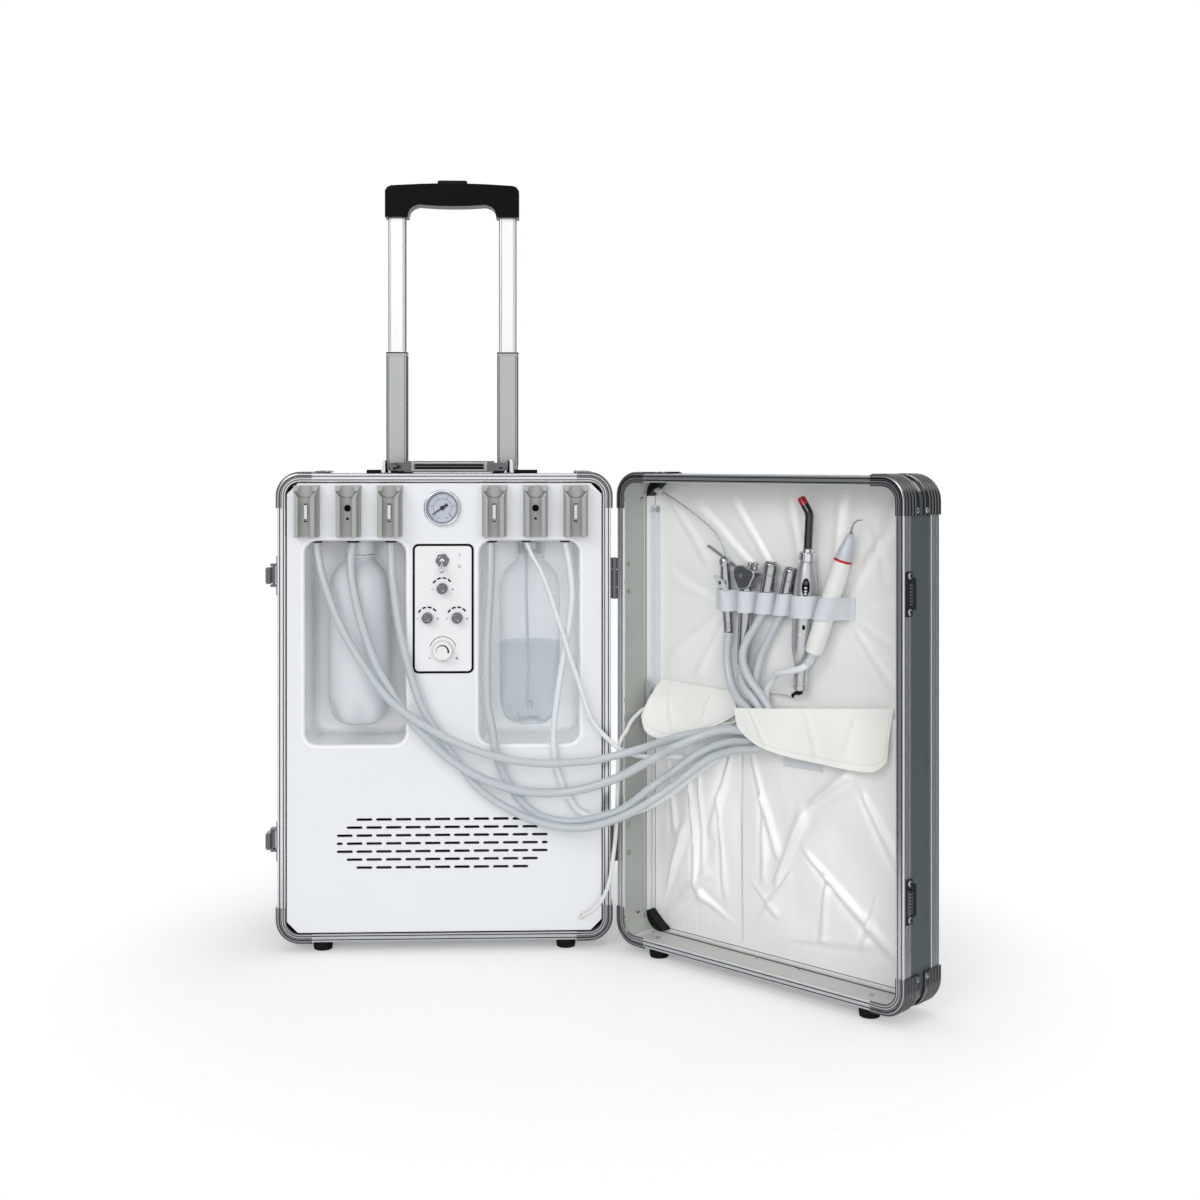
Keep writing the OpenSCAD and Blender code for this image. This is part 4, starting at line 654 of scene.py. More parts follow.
def end_profiles(e):
    a = [(0, e + 0.02), (-13.6, e + 0.02), (-14, e + 0.4), (-14, e + 1.2), (-13.6, e + 1.6)]
    a += [(-9.6, e + 1.6), (-9.5, e + 1.2), (-8.95, e + 1.2), (-8.85, e + 1.6), (-3.6, e + 1.6), (-3.5, e + 1.2),
          (-2.95, e + 1.2), (-2.85, e + 1.6), (0.6, e + 1.6), (1.3, e + 1.3), (1.6, e + 0.6)]
    a += side_grooves([e - 4.4, e - 9.6]) + [(1.6, e - 13.6), (1.2, e - 14), (0, e - 14)]
    b = [(0, e + 0.02), (-16.6, e + 0.02), (-16.9, e + 0.6), (-16.9, e + 2.6), (-16.4, e + 3)]
    b += [(2.2, e + 3), (2.8, e + 2.6), (3, e + 1.8)] + rib_line([e - 2.25, e - 7.75, e - 13.25, e - 18.75], 3) + \
        [(3, e - 27.4), (2.5, e - 28), (0, e - 28)]
    return a, b


def frames(m, body, e, node):
    end, end_cap = end_profiles(e)
    none = lambda a, b: False
    # the groove bottoms of the profiles and the rim caps are inked black: painted shade
    for tag, prof in (("rim", RIM), ("back", end)):
        v, f, idx = rim(prof, groove_floor_painted_shade)
        make(body + "_profile_" + tag, (v, f), [ALU, INK], body, m, idx=idx, angle=30,
             replaces=(node,) if tag == "rim" else ())
    for sx in (-1, 1):
        for sz in (-1, 1):
            tag = "%s%s" % ("lr"[sx > 0], "bt"[sz > 0])
            for k, (prof, dk) in enumerate(((RIM_CAP, groove_floor_painted_shade), (end_cap, none))):
                v, f, idx = cap(prof, dk, sx, sz)
                make("%s_corner_%s_%d" % (body, tag, k), (v, f), [DARKCHROME, INK], body, m, idx=idx, angle=30)
                y = (24, e - 24)[k]
                dome = [(0, 2.9), (0.5, 2.8), (1, 2.2), (1.3, 1.2), (1.4, 0)]
                for p, d in (((sx * 193, y, MZ + sz * (H / 2 - 33)), (sx, 0, 0)),
                             ((sx * (190 - 33), y, MZ + sz * (H / 2 + 3)), (0, 0, sz))):
                    a = Vector(p) - Vector(d) * 0.4
                    make("%s_rivet_%s_%d" % (body, tag, k), lathe(dome, 20), STEEL, body,
                         m @ along(a, a + Vector(d)))


frames(CASE, "case", 190, "case_frames")
frames(LIDX, "lid", 66, "lid_frames")

dress("case_shell", [SKIN], 0.8, 2)


def lid_wall(f):
    """The skin outside, and the walls of the lid's inside; the floor, facing up, takes a lighter copy of the wall
    colour, painted light.
    """
    c, w = lid_of(f.calc_center_median()), LID.inverted().to_3x3() @ f.normal
    w.normalize()
    if w.x > 0.7 and 8 < c.x < 12 or w.x < -0.7 and 378 < c.x < 383:
        return 1
    if w.z > 0.7 and 14 < c.z < 18:
        return 2
    if w.z < -0.7 and 541 < c.z < 545 or w.y < -0.7 and 58 < c.y < 64:
        return 1
    # the rounded inner corners
    if 9 < c.x < 383 and 15.5 < c.z < 543.5 and c.y < 63:
        return 1
    return 0


dress("lid_shell", [SKIN, INNER, INNER_FLOOR_PAINTED_LIGHT], 0.8, 2, sort=lid_wall)
# a thin black ring in the seam between the rim and the panel: painted shade of the gap
make("case_seam_shade", moved(ring_prism(rrect(W - 15.6, H - 15.6, CR - 7.8, 9), rrect(W - 18.4, H - 18.4, CR - 9.2, 9),
                                     0, 0.5), out_of_panel(0, MZ, 2.05)), INK, "case", CASE)

# ---------- front panel ----------
PX, PY = -2.6, 2.0
# the recesses: half the distance between their centres, and their height; and the place of a bottle's neck
BX, RZ = 100.1, 354
NECK_Y, NECK_Z = 45, 471


def outline_mesh(name, loops, y0, y1, bevel, materials, body, m, replaces):
    """A flat part with holes: loops of (x, z), the first one outside; from y0 back to y1."""
    cu = bpy.data.curves.new(name, "CURVE")
    cu.dimensions = "2D"
    cu.fill_mode = "BOTH"
    s = 1000.0
    cu.extrude = ((y1 - y0) / 2 - bevel) / s
    cu.bevel_depth = bevel / s
    cu.bevel_resolution = 2
    cu.offset = -bevel / s
    for lp in loops:
        sp = cu.splines.new("POLY")
        sp.points.add(len(lp) - 1)
        for q, (x, z) in zip(sp.points, lp):
            q.co = (x / s, z / s, 0, 1)
        sp.use_cyclic_u = True
    tmp = link(bpy.data.objects.new(name + "_curve", cu))
    me = bpy.data.meshes.new_from_object(tmp.evaluated_get(bpy.context.evaluated_depsgraph_get()))
    bpy.data.objects.remove(tmp)
    bm = bmesh.new()
    bm.from_mesh(me)
    bpy.data.meshes.remove(me)
    bmesh.ops.remove_doubles(bm, verts=bm.verts, dist=1e-6)
    bmesh.ops.transform(bm, verts=bm.verts,
                        matrix=m @ Matrix.Translation((0, (y0 + y1) / 2, 0)) @ OUT @ Matrix.Scale(s, 4))
    bmesh.ops.recalc_face_normals(bm, faces=bm.faces)
    return finish_mesh(bm, name, materials, body, 40, replaces=replaces)


def loop_at(x, z, w, h, r, n=6):
    return [(x + a, z + b) for a, b in rrect(w, h, r, n)]


def ring_at(x, z, r, n=32):
    return [(x + r * math.cos(2 * math.pi * k / n), z + r * math.sin(2 * math.pi * k / n)) for k in range(n)]


GZ, TZ, WZ, AZ, AX, SZ = 509.2, 448.7, 416.7, 382.9, 17, 345.4
holes = []
for r in range(7):
    n = 12 - abs(r - 3)
    for i in range(n):
        short = r == 3 and i in (0, n - 1)
        x = PX + (i - (n - 1) / 2) * 22.4 + (0 if not short else 5.44 if i == 0 else -5.44)
        holes.append(loop_at(x, 123 - (r - 3) * 9.2, 6.5 if short else 18, 3.0, 1.49, 5))
for x in (-BX, BX):
    holes.append(loop_at(PX + x, RZ, 115 + 6.8, 234 + 6.8, 17.4, 8))
for x, z, d in ((PX, GZ, 39), (PX, TZ, 12), (PX, WZ, 6), (PX - AX, AZ, 6), (PX + AX, AZ, 6), (PX + 0.6, SZ, 6),
                (157, 38.3, 7)):
    holes.append(ring_at(x, z, d / 2))
hw, hh, ch = 185.5, 263, 22
outer = [(hw - ch, hh), (hw, hh - ch), (hw, -hh + ch), (hw - ch, -hh), (-hw + ch, -hh), (-hw, -hh + ch),
         (-hw, hh - ch), (-hw + ch, hh)]
outer = [(x, z + MZ) for x, z in outer]
outline_mesh("panel_face", [outer] + holes, PY, PY + 3, 0.35, [WHITE], "case", CASE, ("front_panel",))


def tub(name, cx, cz, w, h, r, prof, material):
    V, F = [], []
    n = 8
    for t, y in prof:
        V += [(x + cx, y, z + cz) for x, z in rrect(w + 2 * t, h + 2 * t, r + t, n)]
    k = 4 * (n + 1)
    for i in range(len(prof) - 1):
        for a in range(k):
            b = (a + 1) % k
            F.append((i * k + a, i * k + b, (i + 1) * k + b, (i + 1) * k + a))
    F.append(tuple(range((len(prof) - 1) * k, len(prof) * k)))
    # the outside of the tub, so that it has a thickness
    q0 = len(V)
    back = [(prof[0][0], PY + 1.0), (2.5, PY + 2.5), (2.5, 83.5)]
    for t, y in back:
        V += [(x + cx, y, z + cz) for x, z in rrect(w + 2 * t, h + 2 * t, r + t, n)]
    for a in range(k):
        b = (a + 1) % k
        F.append((a, b, q0 + b, q0 + a))
    for i in range(len(back) - 1):
        for a in range(k):
            b = (a + 1) % k
            F.append((q0 + i * k + a, q0 + i * k + b, q0 + (i + 1) * k + b, q0 + (i + 1) * k + a))
    F.append(tuple(range(q0 + (len(back) - 1) * k, q0 + len(back) * k)))
    make(name, (V, F), material, "case", CASE, angle=50)


lip = [(5.2, PY + 0.3), (4.9, PY - 0.1), (4.2, PY - 0.4), (3.2, PY - 0.45), (2.2, PY - 0.2), (1.2, PY + 0.5),
       (0.5, PY + 1.5), (0.12, PY + 2.8), (0, PY + 4.5), (-0.6, 40), (-1.2, 72), (-1.8, 76.5), (-3.6, 79.6),
       (-6.4, 81.3), (-10, 81.9)]
# the recess walls take the brighter white, painted light against their shade
for tag, x in (("left", -BX), ("right", BX)):
    tub("recess_" + tag, PX + x, RZ, 115, 234, 14, lip, BAY_PAINTED_LIGHT)
# grommets where the hoses come through the recess ceilings
for k, (x, y, r) in enumerate(((-148.2, 12, 4.5), (-106.3, 12, 5), (-62.5, 12, 4.5), (52.9, 12, 4.75), (94, 14,
    2.75),
                               (138.7, 14, 3.75))):
    make("hose_grommet_%d" % k, lathe([(0, r + 0.1), (0, r + 2.6), (-1.2, r + 2.4), (-1.7, r + 1.4), (-1.5,
        r + 0.1)],
                                      32), BLACK, "case", CASE @ Matrix.Translation((x, y, 470.6)))

# ---------- handpiece holders and their levers ----------
dress("handpiece_holders", [GREY], 0.5, 3, angle=32)
for k, node in ((0, "lever_1"), (2, "lever_3"), (3, "lever_4"), (5, "lever_6")):
    dress(node, [WHITE], 0.35, 2)
for k, x in enumerate((-154.6, -107.4, -59.9, 59.9, 107.2, 153.3)):
    if k in (1, 4):
        back = join(moved(lathe([(0, 0), (0, 3.95), (0.4, 3.95), (0.4, 0)], 32), out_of_panel(0, 32.7)),
                    moved(lathe([(0, 0), (0, 1.58), (0.4, 1.58), (0.4, 0)], 20), out_of_panel(0, 20.7)))
        back = moved(back, Matrix.Translation((0, -9, 0)))
    else:
        back = join(*[box(*q[:2], -3.6, -3.2, *q[2:]) for q in ((-2.17, -1.9, 17.1, 37.9), (1.9, 2.17, 17.1, 37.9),
                                                                (-1.9, 1.9, 37.2, 37.9), (-1.9, 1.9, 17.1, 17.7))])
    make("holder_dark_%d" % k, moved(back, Matrix.Translation((PX + x, PY, 476.5))), INK, "case", CASE)

# ---------- gauge ----------
g = CASE @ out_of_panel(PX, GZ)
make("gauge_bezel", lathe([(-34, 7), (-34, 18.5), (-2.2, 18.5), (-2, 21.5), (-1.4, 21.6), (0.6, 21.5), (2.2, 21.2),
                           (3.2, 20.5), (3.75, 19.6), (3.6, 18.9), (2.9, 18.4), (-2.1, 18.1), (-2.1, 17.0), (-3,
                           0)], 96),
     CHROME, "case", g, replaces=("gauge_case",), angle=60)
make("gauge_face", lathe([(-2.1, 0), (-2.1, 18.0), (-1.2, 18.0), (-1.2, 0)], 64), DIAL, "case", g,
     replaces=("gauge_dial",))


def quads(n, closed=False):
    """The faces of a ribbon of n stations with four points each."""
    F = []
    for i in range(n if closed else n - 1):
        a, b = 4 * i, 4 * ((i + 1) % n)
        F += [(a, b, b + 1, a + 1), (a + 2, a + 3, b + 3, b + 2), (a, a + 2, b + 2, b), (a + 1, b + 1, b + 3,
            a + 3)]
    return F


def arc_band(cx, cz, r, a0, a1, n, half, t=0.07):
    """A printed band along an arc; half(f) is half its width at the share f of its way."""
    V = []
    for i in range(n + 1):
        a, w = math.radians(a0 + (a1 - a0) * i / n), half(i / n)
        c, s = math.cos(a), math.sin(a)
        for z in (0, t):
            V += [(cx + (r + w) * c, cz + (r + w) * s, z), (cx + (r - w) * c, cz + (r - w) * s, z)]
    return V, quads(n + 1)


def stroke(pts, w, t=0.08, closed=False):
    """A flat printed line through 2-D points, as thin raised geometry."""
    V = []
    n = len(pts)
    for i, p in enumerate(pts):
        a, b = pts[max(i - 1, 0)], pts[min(i + 1, n - 1)]
        if closed:
            a, b = pts[(i - 1) % n], pts[(i + 1) % n]
        d = Vector((b[0] - a[0], b[1] - a[1])).normalized()
        s = Vector((-d.y, d.x)) * w / 2
        for z in (0, t):
            V += [(p[0] + s.x, p[1] + s.y, z), (p[0] - s.x, p[1] - s.y, z)]
    F = quads(n, closed)
    if not closed:
        k = 4 * (n - 1)
        F += [(0, 1, 3, 2), (k, k + 2, k + 3, k + 1)]
    return V, F


def arc(cx, cy, r, a0, a1, n=24):
    return [(cx + r * math.cos(math.radians(a0 + (a1 - a0) * k / n)),
             cy + r * math.sin(math.radians(a0 + (a1 - a0) * k / n))) for k in range(n + 1)]


DIGITS = {"0": [[(0, 0), (1, 0), (1, 2), (0, 2), (0, 0)]], "1": [[(0.5, 0), (0.5, 2), (0.15, 1.6)]],
          "2": [[(0, 2), (1, 2), (1, 1), (0, 0), (1, 0)]],
          "3": [[(0, 2), (1, 2), (0.5, 1.1), (1, 0.8), (1, 0), (0, 0)]],
          "4": [[(0.8, 0), (0.8, 2), (0, 0.6), (1.05, 0.6)]],
          "5": [[(1, 2), (0, 2), (0, 1.1), (1, 1.1), (1, 0), (0, 0)]],
          "6": [[(1, 2), (0, 1.4), (0, 0), (1, 0), (1, 1), (0, 1)]], "7": [[(0, 2), (1, 2), (0.4, 0)]],
          "8": [[(0, 0), (1, 0), (1, 2), (0, 2), (0, 0)], [(0, 1), (1, 1)]]}


def number(txt, x, y, s, w):
    out = []
    for i, c in enumerate(txt):
        for ln in DIGITS[c]:
            out.append(stroke([(x + (i * 1.45 - 0.72 * (len(txt) - 1) - 0.5 + p[0]) * s, y + (p[1] - 1) * s)
                               for p in ln], w))
    return out


marks = []
for k in range(51):
    a = 225 - 270 * k / 50
    long = 2.4 if k % 10 == 0 else 1.7 if k % 5 == 0 else 1.1
    c, s = math.cos(math.radians(a)), math.sin(math.radians(a))
    marks.append(stroke([((16.6 - long) * c, (16.6 - long) * s), (16.6 * c, 16.6 * s)],
        0.5 if k % 10 == 0 else 0.3))
    if k % 5 == 0 and k % 10:
        marks.append(stroke([(9.6 * c, 9.6 * s), (10.4 * c, 10.4 * s)], 0.2))
marks.append(stroke(arc(0, 0, 16.9, 0, 360, 72), 0.7))
marks.append(stroke(arc(0, 0, 10.5, -45, 225, 72), 0.35))
for k in range(6):
    a = math.radians(225 - 54 * k)
    marks += number(str(2 * k) if k < 5 else "10", 12.4 * math.cos(a), 12.4 * math.sin(a), 1.05, 0.36)
make("gauge_print", moved(join(*marks), Matrix.Translation((0, 0, -1.19))), INK, "case", g, recalc=False)
for k, s in enumerate((-1, 1)):
    make("gauge_screw_%d" % k, lathe([(-1.2, 1.3), (-0.75, 1.3), (-0.5, 0.9), (-0.45, 0)], 16), STEEL, "case",
         g @ Matrix.Translation((s * 5.2, -11.5, 0)))
make("gauge_glass", lathe([(1.3, 0), (1.3, 18.5), (2.0, 18.5), (2.2, 17), (2.3, 0)], 64), GLASS, "case", g)
q = g @ Matrix.Rotation(math.radians(214), 4, "Z")
make("needle_form", join(
    ([(0, -1.15, z) for z in (-0.55, 0.1)] + [(14.6, -0.3, z) for z in (-0.55, 0.1)] +
     [(14.6, 0.3, z) for z in (-0.55, 0.1)] + [(0, 1.15, z) for z in (-0.55, 0.1)] +
     [(-7.2, 1.7, z) for z in (-0.55, 0.1)] + [(-7.2, -1.7, z) for z in (-0.55, 0.1)],
     [(0, 2, 4, 6, 8, 10), (1, 11, 9, 7, 5, 3)] + [(2 * k, 2 * k + 1, (2 * k + 3) % 12,
     (2 * k + 2) % 12) for k in range(6)]),
    lathe([(-12, 0.8), (0.1, 0.8), (0.1, 2.6), (0.45, 2.4), (0.6, 1.6), (0.65, 0)], 24)), INK, "needle", q,
    replaces=("gauge_needle",), recalc=False)

# ---------- control plate, its switch and its knobs ----------
PC = PX + 0.9
outline_mesh("plate_form", [loop_at(PC, 393.2, 70.7, 149.7, 7, 8)] +
             [ring_at(x, z, r) for x, z, r in ((PX, TZ, 6), (PX, WZ, 3), (PX - AX, AZ, 3), (PX + AX, AZ, 3),
                                               (PX + 0.6, SZ, 3))],
             1.2, 2.0, 0.12, [PLATE], "case", CASE, ("control_plate",))
pl = CASE @ out_of_panel(0, 0, 1.2)


def print_on(name, parts):
    make(name, join(*parts), INK, "case", pl, recalc=False)


print_on("plate_border", [ring_prism(loop_at(PC, 393.2, 70.3, 149.3, 6.8, 8), loop_at(PC, 393.2, 65.0, 144.0, 4.4,
    8),
                                     0, 0.07)])
pr = []
for cx, cz in ((PX, WZ), (PX - AX, AZ), (PX + AX, AZ)):
    for k in range(4):
        pr.append(arc_band(cx, cz, 11.9, 152 - 31 * k, 130 - 31 * k, 6, lambda f: 0.95))
    pr.append(stroke([(cx - 12.6, cz - 1.4), (cx - 10.6, cz - 1.4)], 0.7))
    pr.append(stroke([(cx + 10.6, cz - 1.4), (cx + 12.6, cz - 1.4)], 0.7))
    pr.append(stroke([(cx + 11.6, cz - 2.4), (cx + 11.6, cz - 0.4)], 0.7))
# the arc round the scaler knob
cx, cz = PX + 0.6, SZ
pr.append(arc_band(cx, cz, 15.4, 165, 15, 40, lambda f: 0.35))
pr.append(stroke([(cx - 16.6, cz - 9.2), (cx - 14.2, cz - 9.2)], 0.7))
pr.append(stroke([(cx + 14.4, cz - 9.4), (cx + 17.4, cz - 9.4)], 0.8))
pr.append(stroke([(cx + 15.9, cz - 10.9), (cx + 15.9, cz - 7.9)], 0.8))
pr.append(stroke(arc(PX + 19.5, TZ - 7, 1.5, 0, 360, 16), 0.45))
pr.append(stroke([(PX + 19.5, TZ + 5), (PX + 19.5, TZ + 8)], 0.6))
print_on("plate_print", pr)

make("valve_bodies", join(*[moved(lathe([(-21, 7), (-5.4, 7), (-5.0, 6.6), (-5, 0)], 32), out_of_panel(x, z))
                            for x, z in ((PX, WZ), (PX - AX, AZ), (PX + AX, AZ), (PX + 0.6, SZ))]), STEEL, "case",
                            CASE,
     replaces=("control_fittings",))
make("switch_body", moved(box(-7, 7, -10, 10, -19, -5), out_of_panel(PX, TZ)), BLACK, "case", CASE, bevel=0.6)
hexa = [(8.2 * math.cos(math.radians(60 * k + 8)), 8.2 * math.sin(math.radians(60 * k + 8))) for k in range(6)]
tg = CASE @ out_of_panel(PX, TZ)
make("switch_nut", prism(hexa, -1.2, 2.2), DARKCHROME, "case", tg, bevel=0.5, angle=30)
make("switch_bush", lathe([(-5, 5.5), (3.0, 5.5), (3.2, 5.2), (3.2, 4.9), (2.4, 4.4), (0.2, 4.2), (0.2, 0)], 40),
     STEEL, "case", tg)
make("toggle_form", lathe([(-4, 0), (-3.7, 1.6), (-2.8, 2.9), (0, 4), (2, 3.4), (2.8, 1.75), (9, 1.95), (14, 2.4),
                                (17, 2.85), (19.4, 3), (20.7, 2.6), (21.3, 1.7), (21.5, 0)], 32), CHROME, "toggle",
     CASE @ Matrix.Translation((PX, -0.5, TZ)) @ Matrix.Rotation(math.radians(124), 4, "X"),
     replaces=("toggle_lever",))


def knob(node, x, z, d, ln, material, grips, depth):
    r = d / 2

    def knurl(a, zz, q):
        if 0.4 < zz < ln - 1.6:
            return q - depth * (0.5 - 0.5 * math.cos(grips * a)) ** 2
        return q
    prof = [(-17, 2.5), (-0.8, 2.5), (-0.8, r - 0.5), (-0.4, r), (0.9, r), (1.1, r), (ln - 3, r - 0.1), (ln - 1.7,
        r - 0.35),
            (ln - 1.0, r - 0.8), (ln - 0.35, r - 1.5), (ln - 0.05, r - 2.3), (ln - 0.05, r - 2.9), (ln - 0.3,
            r - 3.2), (ln - 0.3, 0)]
    make(node + "_form", lathe(prof, grips * 8, knurl), material, node, CASE @ out_of_panel(x, z), replaces=(node,),
        angle=50)
    make(node + "_mark", stroke([(0, -r + 1.0), (0, -r + 2.9)], 0.9, 0.25), INK, node,
         CASE @ out_of_panel(x, z) @ Matrix.Translation((0, 0, ln - 0.35)), recalc=False)


for node, x, z in (("water_knob", PX, WZ), ("air_knob_left", PX - AX, AZ), ("air_knob_right", PX + AX, AZ)):
    knob(node, x, z, 12.6, 12, KNOB, 18, 0.5)
knob("scaler_knob", PX + 0.6, SZ, 23.6, 13, IVORY, 24, 0.55)
# a tapered arc on its face
make("scaler_knob_swoosh", arc_band(0, 0, 6.9, 200, -15, 30, lambda f: (0.3 + 1.9 * f ** 1.2) / 2, 0.12), INK,
    "scaler_knob", CASE @ out_of_panel(PX + 0.6, SZ) @ Matrix.Translation((0, 0, 12.68)),
     recalc=False)

# ---------- bottles ----------
BR, NR, CH_, BH = 36, 14, 17, 214


def foot(a, z, r):
    """Five shallow flutes round the lowest part of a bottle."""
    t = max(0, min(1, (-BH + 30 - z) / 28))
    return r * (1 - 0.2 * t * (0.5 + 0.5 * math.cos(5 * a + 0.6)) ** 1.6)


def bottle(node, x, material):
    m = CASE @ Matrix.Translation((PX + x, NECK_Y, NECK_Z))
    prof = [(-3.5, NR), (-5, NR), (-6, NR + 0.5), (-8, NR), (-10, NR + 0.5), (-12, NR), (-CH_ - 1.2, NR),
            (-CH_ - 1.3, NR + 3.3), (-CH_ - 2.4, NR + 3.5), (-CH_ - 3.5, NR + 3.3), (-CH_ - 5, NR + 1.1),
            (-CH_ - 7, NR + 2.4), (-CH_ - 9.5, NR + 5.4), (-CH_ - 13, NR + 9.6), (-CH_ - 17.5, BR - 8.4),
            (-CH_ - 23, BR - 4.6),
            (-CH_ - 29, BR - 2.2), (-CH_ - 36, BR - 0.6), (-CH_ - 43, BR), (-100, BR), (-100.8, BR - 0.4), (-101.6,
            BR),
            (-140, BR), (-BH + 34, BR), (-BH + 26, BR - 0.3), (-BH + 18, BR - 1.4), (-BH + 10, BR - 3.6),
            (-BH + 4, BR - 7), (-BH + 0.5, BR - 11), (-BH - 1.5, BR - 15)]
    base = [(-BH - 1.2, BR - 20), (-BH + 2, BR - 27), (-BH + 4, 0)]
    make(node + "_form", lathe(prof + base, 90, foot), material, node, m, replaces=(node,), angle=45)
    return m


WASTE = bottle("waste_bottle", -BX, MILKY)
WB = bottle("water_bottle", BX, CLEAR)
# the water, the pickup tube, the graduations and the caps
wr = BR - 1.15
make("water_fill", lathe([(-121, 0), (-121, wr - 0.6), (-121.6, wr), (-BH + 34, wr), (-BH + 26, wr - 0.3),
    (-BH + 18, wr - 1.4),
                          (-BH + 10, wr - 3.6), (-BH + 4, wr - 7), (-BH + 1.6, wr - 11), (-BH + 1.2, wr - 15),
                          (-BH + 4, wr - 26), (-BH + 5.5, 0)], 90, foot), WATER, "water_bottle", WB, angle=50)
make("pickup_tube", join(sweep([(-4, 0, -8), (-4, 0, -60), (-3, 1, -110), (-1, 2, -150), (-4, 0, -196)], 1.6, 12),
                         lathe([(-BH + 13, 0), (-BH + 13, 3.4), (-BH + 22, 3.4), (-BH + 23, 2.2), (-BH + 23, 0)],
                         20)),
     NOSE, "water_bottle", WB)
gr = []
for k in range(9):
    z = -60 - 16 * k
    w = 9 if k % 2 == 0 else 5.5
    a0 = math.radians(-68)
    q = [((BR + 0.03) * math.cos(a0 + t), (BR + 0.03) * math.sin(a0 + t), z) for t in
         [j * w / BR / 6 for j in range(7)]]
    gr.append(strip_along(q, lambda i, q=q: (q[i][0], q[i][1], 0), 0.5, 0.12))
make("bottle_graduations", join(*gr), NOSE, "water_bottle", WB, recalc=False)


def ribs(a, z, r):
    """The grip ribs round a bottle's cap."""
    return r - (0.45 * (0.5 + 0.5 * math.cos(36 * a)) if -17 < z < -2 and r > 16 else 0)


for tag, m, mt in (("waste", WASTE, MILKY), ("water", WB, CLEAR)):
    make("cap_" + tag, lathe([(-3, 0), (-3, 14.3), (-16, 14.3), (-17, 14.6), (-17, 17.1), (-16.4, 17.5), (-16,
        17.5),
                              (-3, 17.5), (-1.2, 17.2), (-0.1, 16.4), (0, 14), (0, 0)], 144, ribs),
         mt, "case", m, replaces=("bottle_caps",) if tag == "waste" else (), angle=50)
make("cap_fitting", prism(rrect(15, 15, 3), -12, -3.5), MILKY, "case", WB, bevel=0.6)

# ---------- inside, feet, ports and hardware of the case ----------
dress("air_supply", [DARK], 1.2, 2)
dress("case_feet", [RUBBER], 0.8, 2)
dress("lid_feet", [RUBBER], 0.8, 2)
for node, x in (("wheel_left", -128), ("wheel_right", 128)):
    m = CASE @ Matrix.Translation((x, 176, 28)) @ Matrix.Rotation(math.pi / 2, 4, "Y")
    tyre = [(-10, 6), (-10, 15.4), (-9.4, 16), (-7.4, 16.2), (-9.6, 17.2), (-10, 18.6), (-9.6, 21.2), (-8, 22.6),
        (-6, 23),
            (-2.2, 23), (-1.6, 22.4), (-0.9, 22.2), (0.9, 22.2), (1.6, 22.4), (2.2, 23), (6, 23), (8, 22.6), (9.6,
            21.2),
            (10, 18.6), (9.6, 17.2), (7.4, 16.2), (9.4, 16), (10, 15.4), (10, 6)]
    make(node + "_form", lathe(tyre, 64), RUBBER, node, m, replaces=(node,), angle=50)
    make(node + "_axle", lathe([(-14.6, 0), (-14.6, 2.5), (-14.4, 2.75), (14.4, 2.75), (14.6, 2.5), (14.6, 0)], 24),
        STEEL,
         node, m)
    make(node + "_hub", lathe([(-10.6, 2.8), (-10.6, 5.2), (-10.1, 6.2), (10.1, 6.2), (10.6, 5.2), (10.6, 2.8)],
        32), BLACK,
         node, m)
dress("side_ports", [BLACK], 0.5, 2)
make("inlet_pins", join(*[box(-190, -178, y - 1, y + 1, 58, 63) for y in (58, 64, 70)]), STEEL, "case", CASE,
    bevel=0.25)
dress("case_hardware", [DARKCHROME], 0.45, 2)
dress("lid_hardware", [DARKCHROME], 0.45, 2)
for node in ("latch_lever_upper", "latch_lever_lower"):
    dress(node, [DARKCHROME], 0.7, 3)
for k, z in enumerate((428, 125.5)):
    # countersunk screws of the hinge leaves on both walls, and their nuts inside the lid
    for j, dz in enumerate((-16, 0, 16)):
        make("hinge_screw_c_%d%d" % (k, j), lathe([(-0.6, 2.6), (0, 2.6), (0.35, 1.9), (0.4, 0.5), (0.1, 0.4), (0.1,
            0)], 20),
             STEEL, "case", CASE @ along((190 + 2.7, 21, z + dz), (196, 21, z + dz)))
        make("hinge_screw_l_%d%d" % (k, j), lathe([(-0.6, 2.6), (0, 2.6), (0.35, 1.9), (0.4, 0.5), (0.1, 0.4), (0.1,
            0)], 20),
             STEEL, "lid", LID @ along((5.6 - 2.7, 21, z + dz), (0, 21, z + dz)))
        if j != 1:
            make("hinge_nut_%d%d" % (k, j), lathe([(-0.3, 3.2), (0.6, 3.1), (1.2, 2.2), (1.4, 0)], 20), STEEL,
                "lid",
                 LID @ along((9.6, 15, z + dz), (12, 15, z + dz)))
for k, z in enumerate((431.4, 126)):
    for s in (-1, 1):
        make("latch_rivet_%d%s" % (k, "ab"[s > 0]), lathe([(-0.3, 2.7), (0.3, 2.6), (0.9, 1.9), (1.2, 0)], 20),
            STEEL, "case",
             CASE @ along((-193, 28, z + s * 17), (-196, 28, z + s * 17)))
        make("catch_rivet_%d%s" % (k, "ab"[s > 0]), lathe([(-0.3, 3.2), (0.4, 3.1), (1.2, 2.2), (1.6, 0)], 24),
            STEEL, "lid",
             LID @ along((388.6, 9, z + s * 18), (392, 9, z + s * 18)))
    # ribbed bar of the catch
    for j in range(7):
        make("catch_rib_%d%d" % (k, j), box(391.4, 392.6, 3.6, 8.4, z - 10.6 + 3.2 * j, z - 8.8 + 3.2 * j), STEEL,
            "lid", LID,
             bevel=0.25)

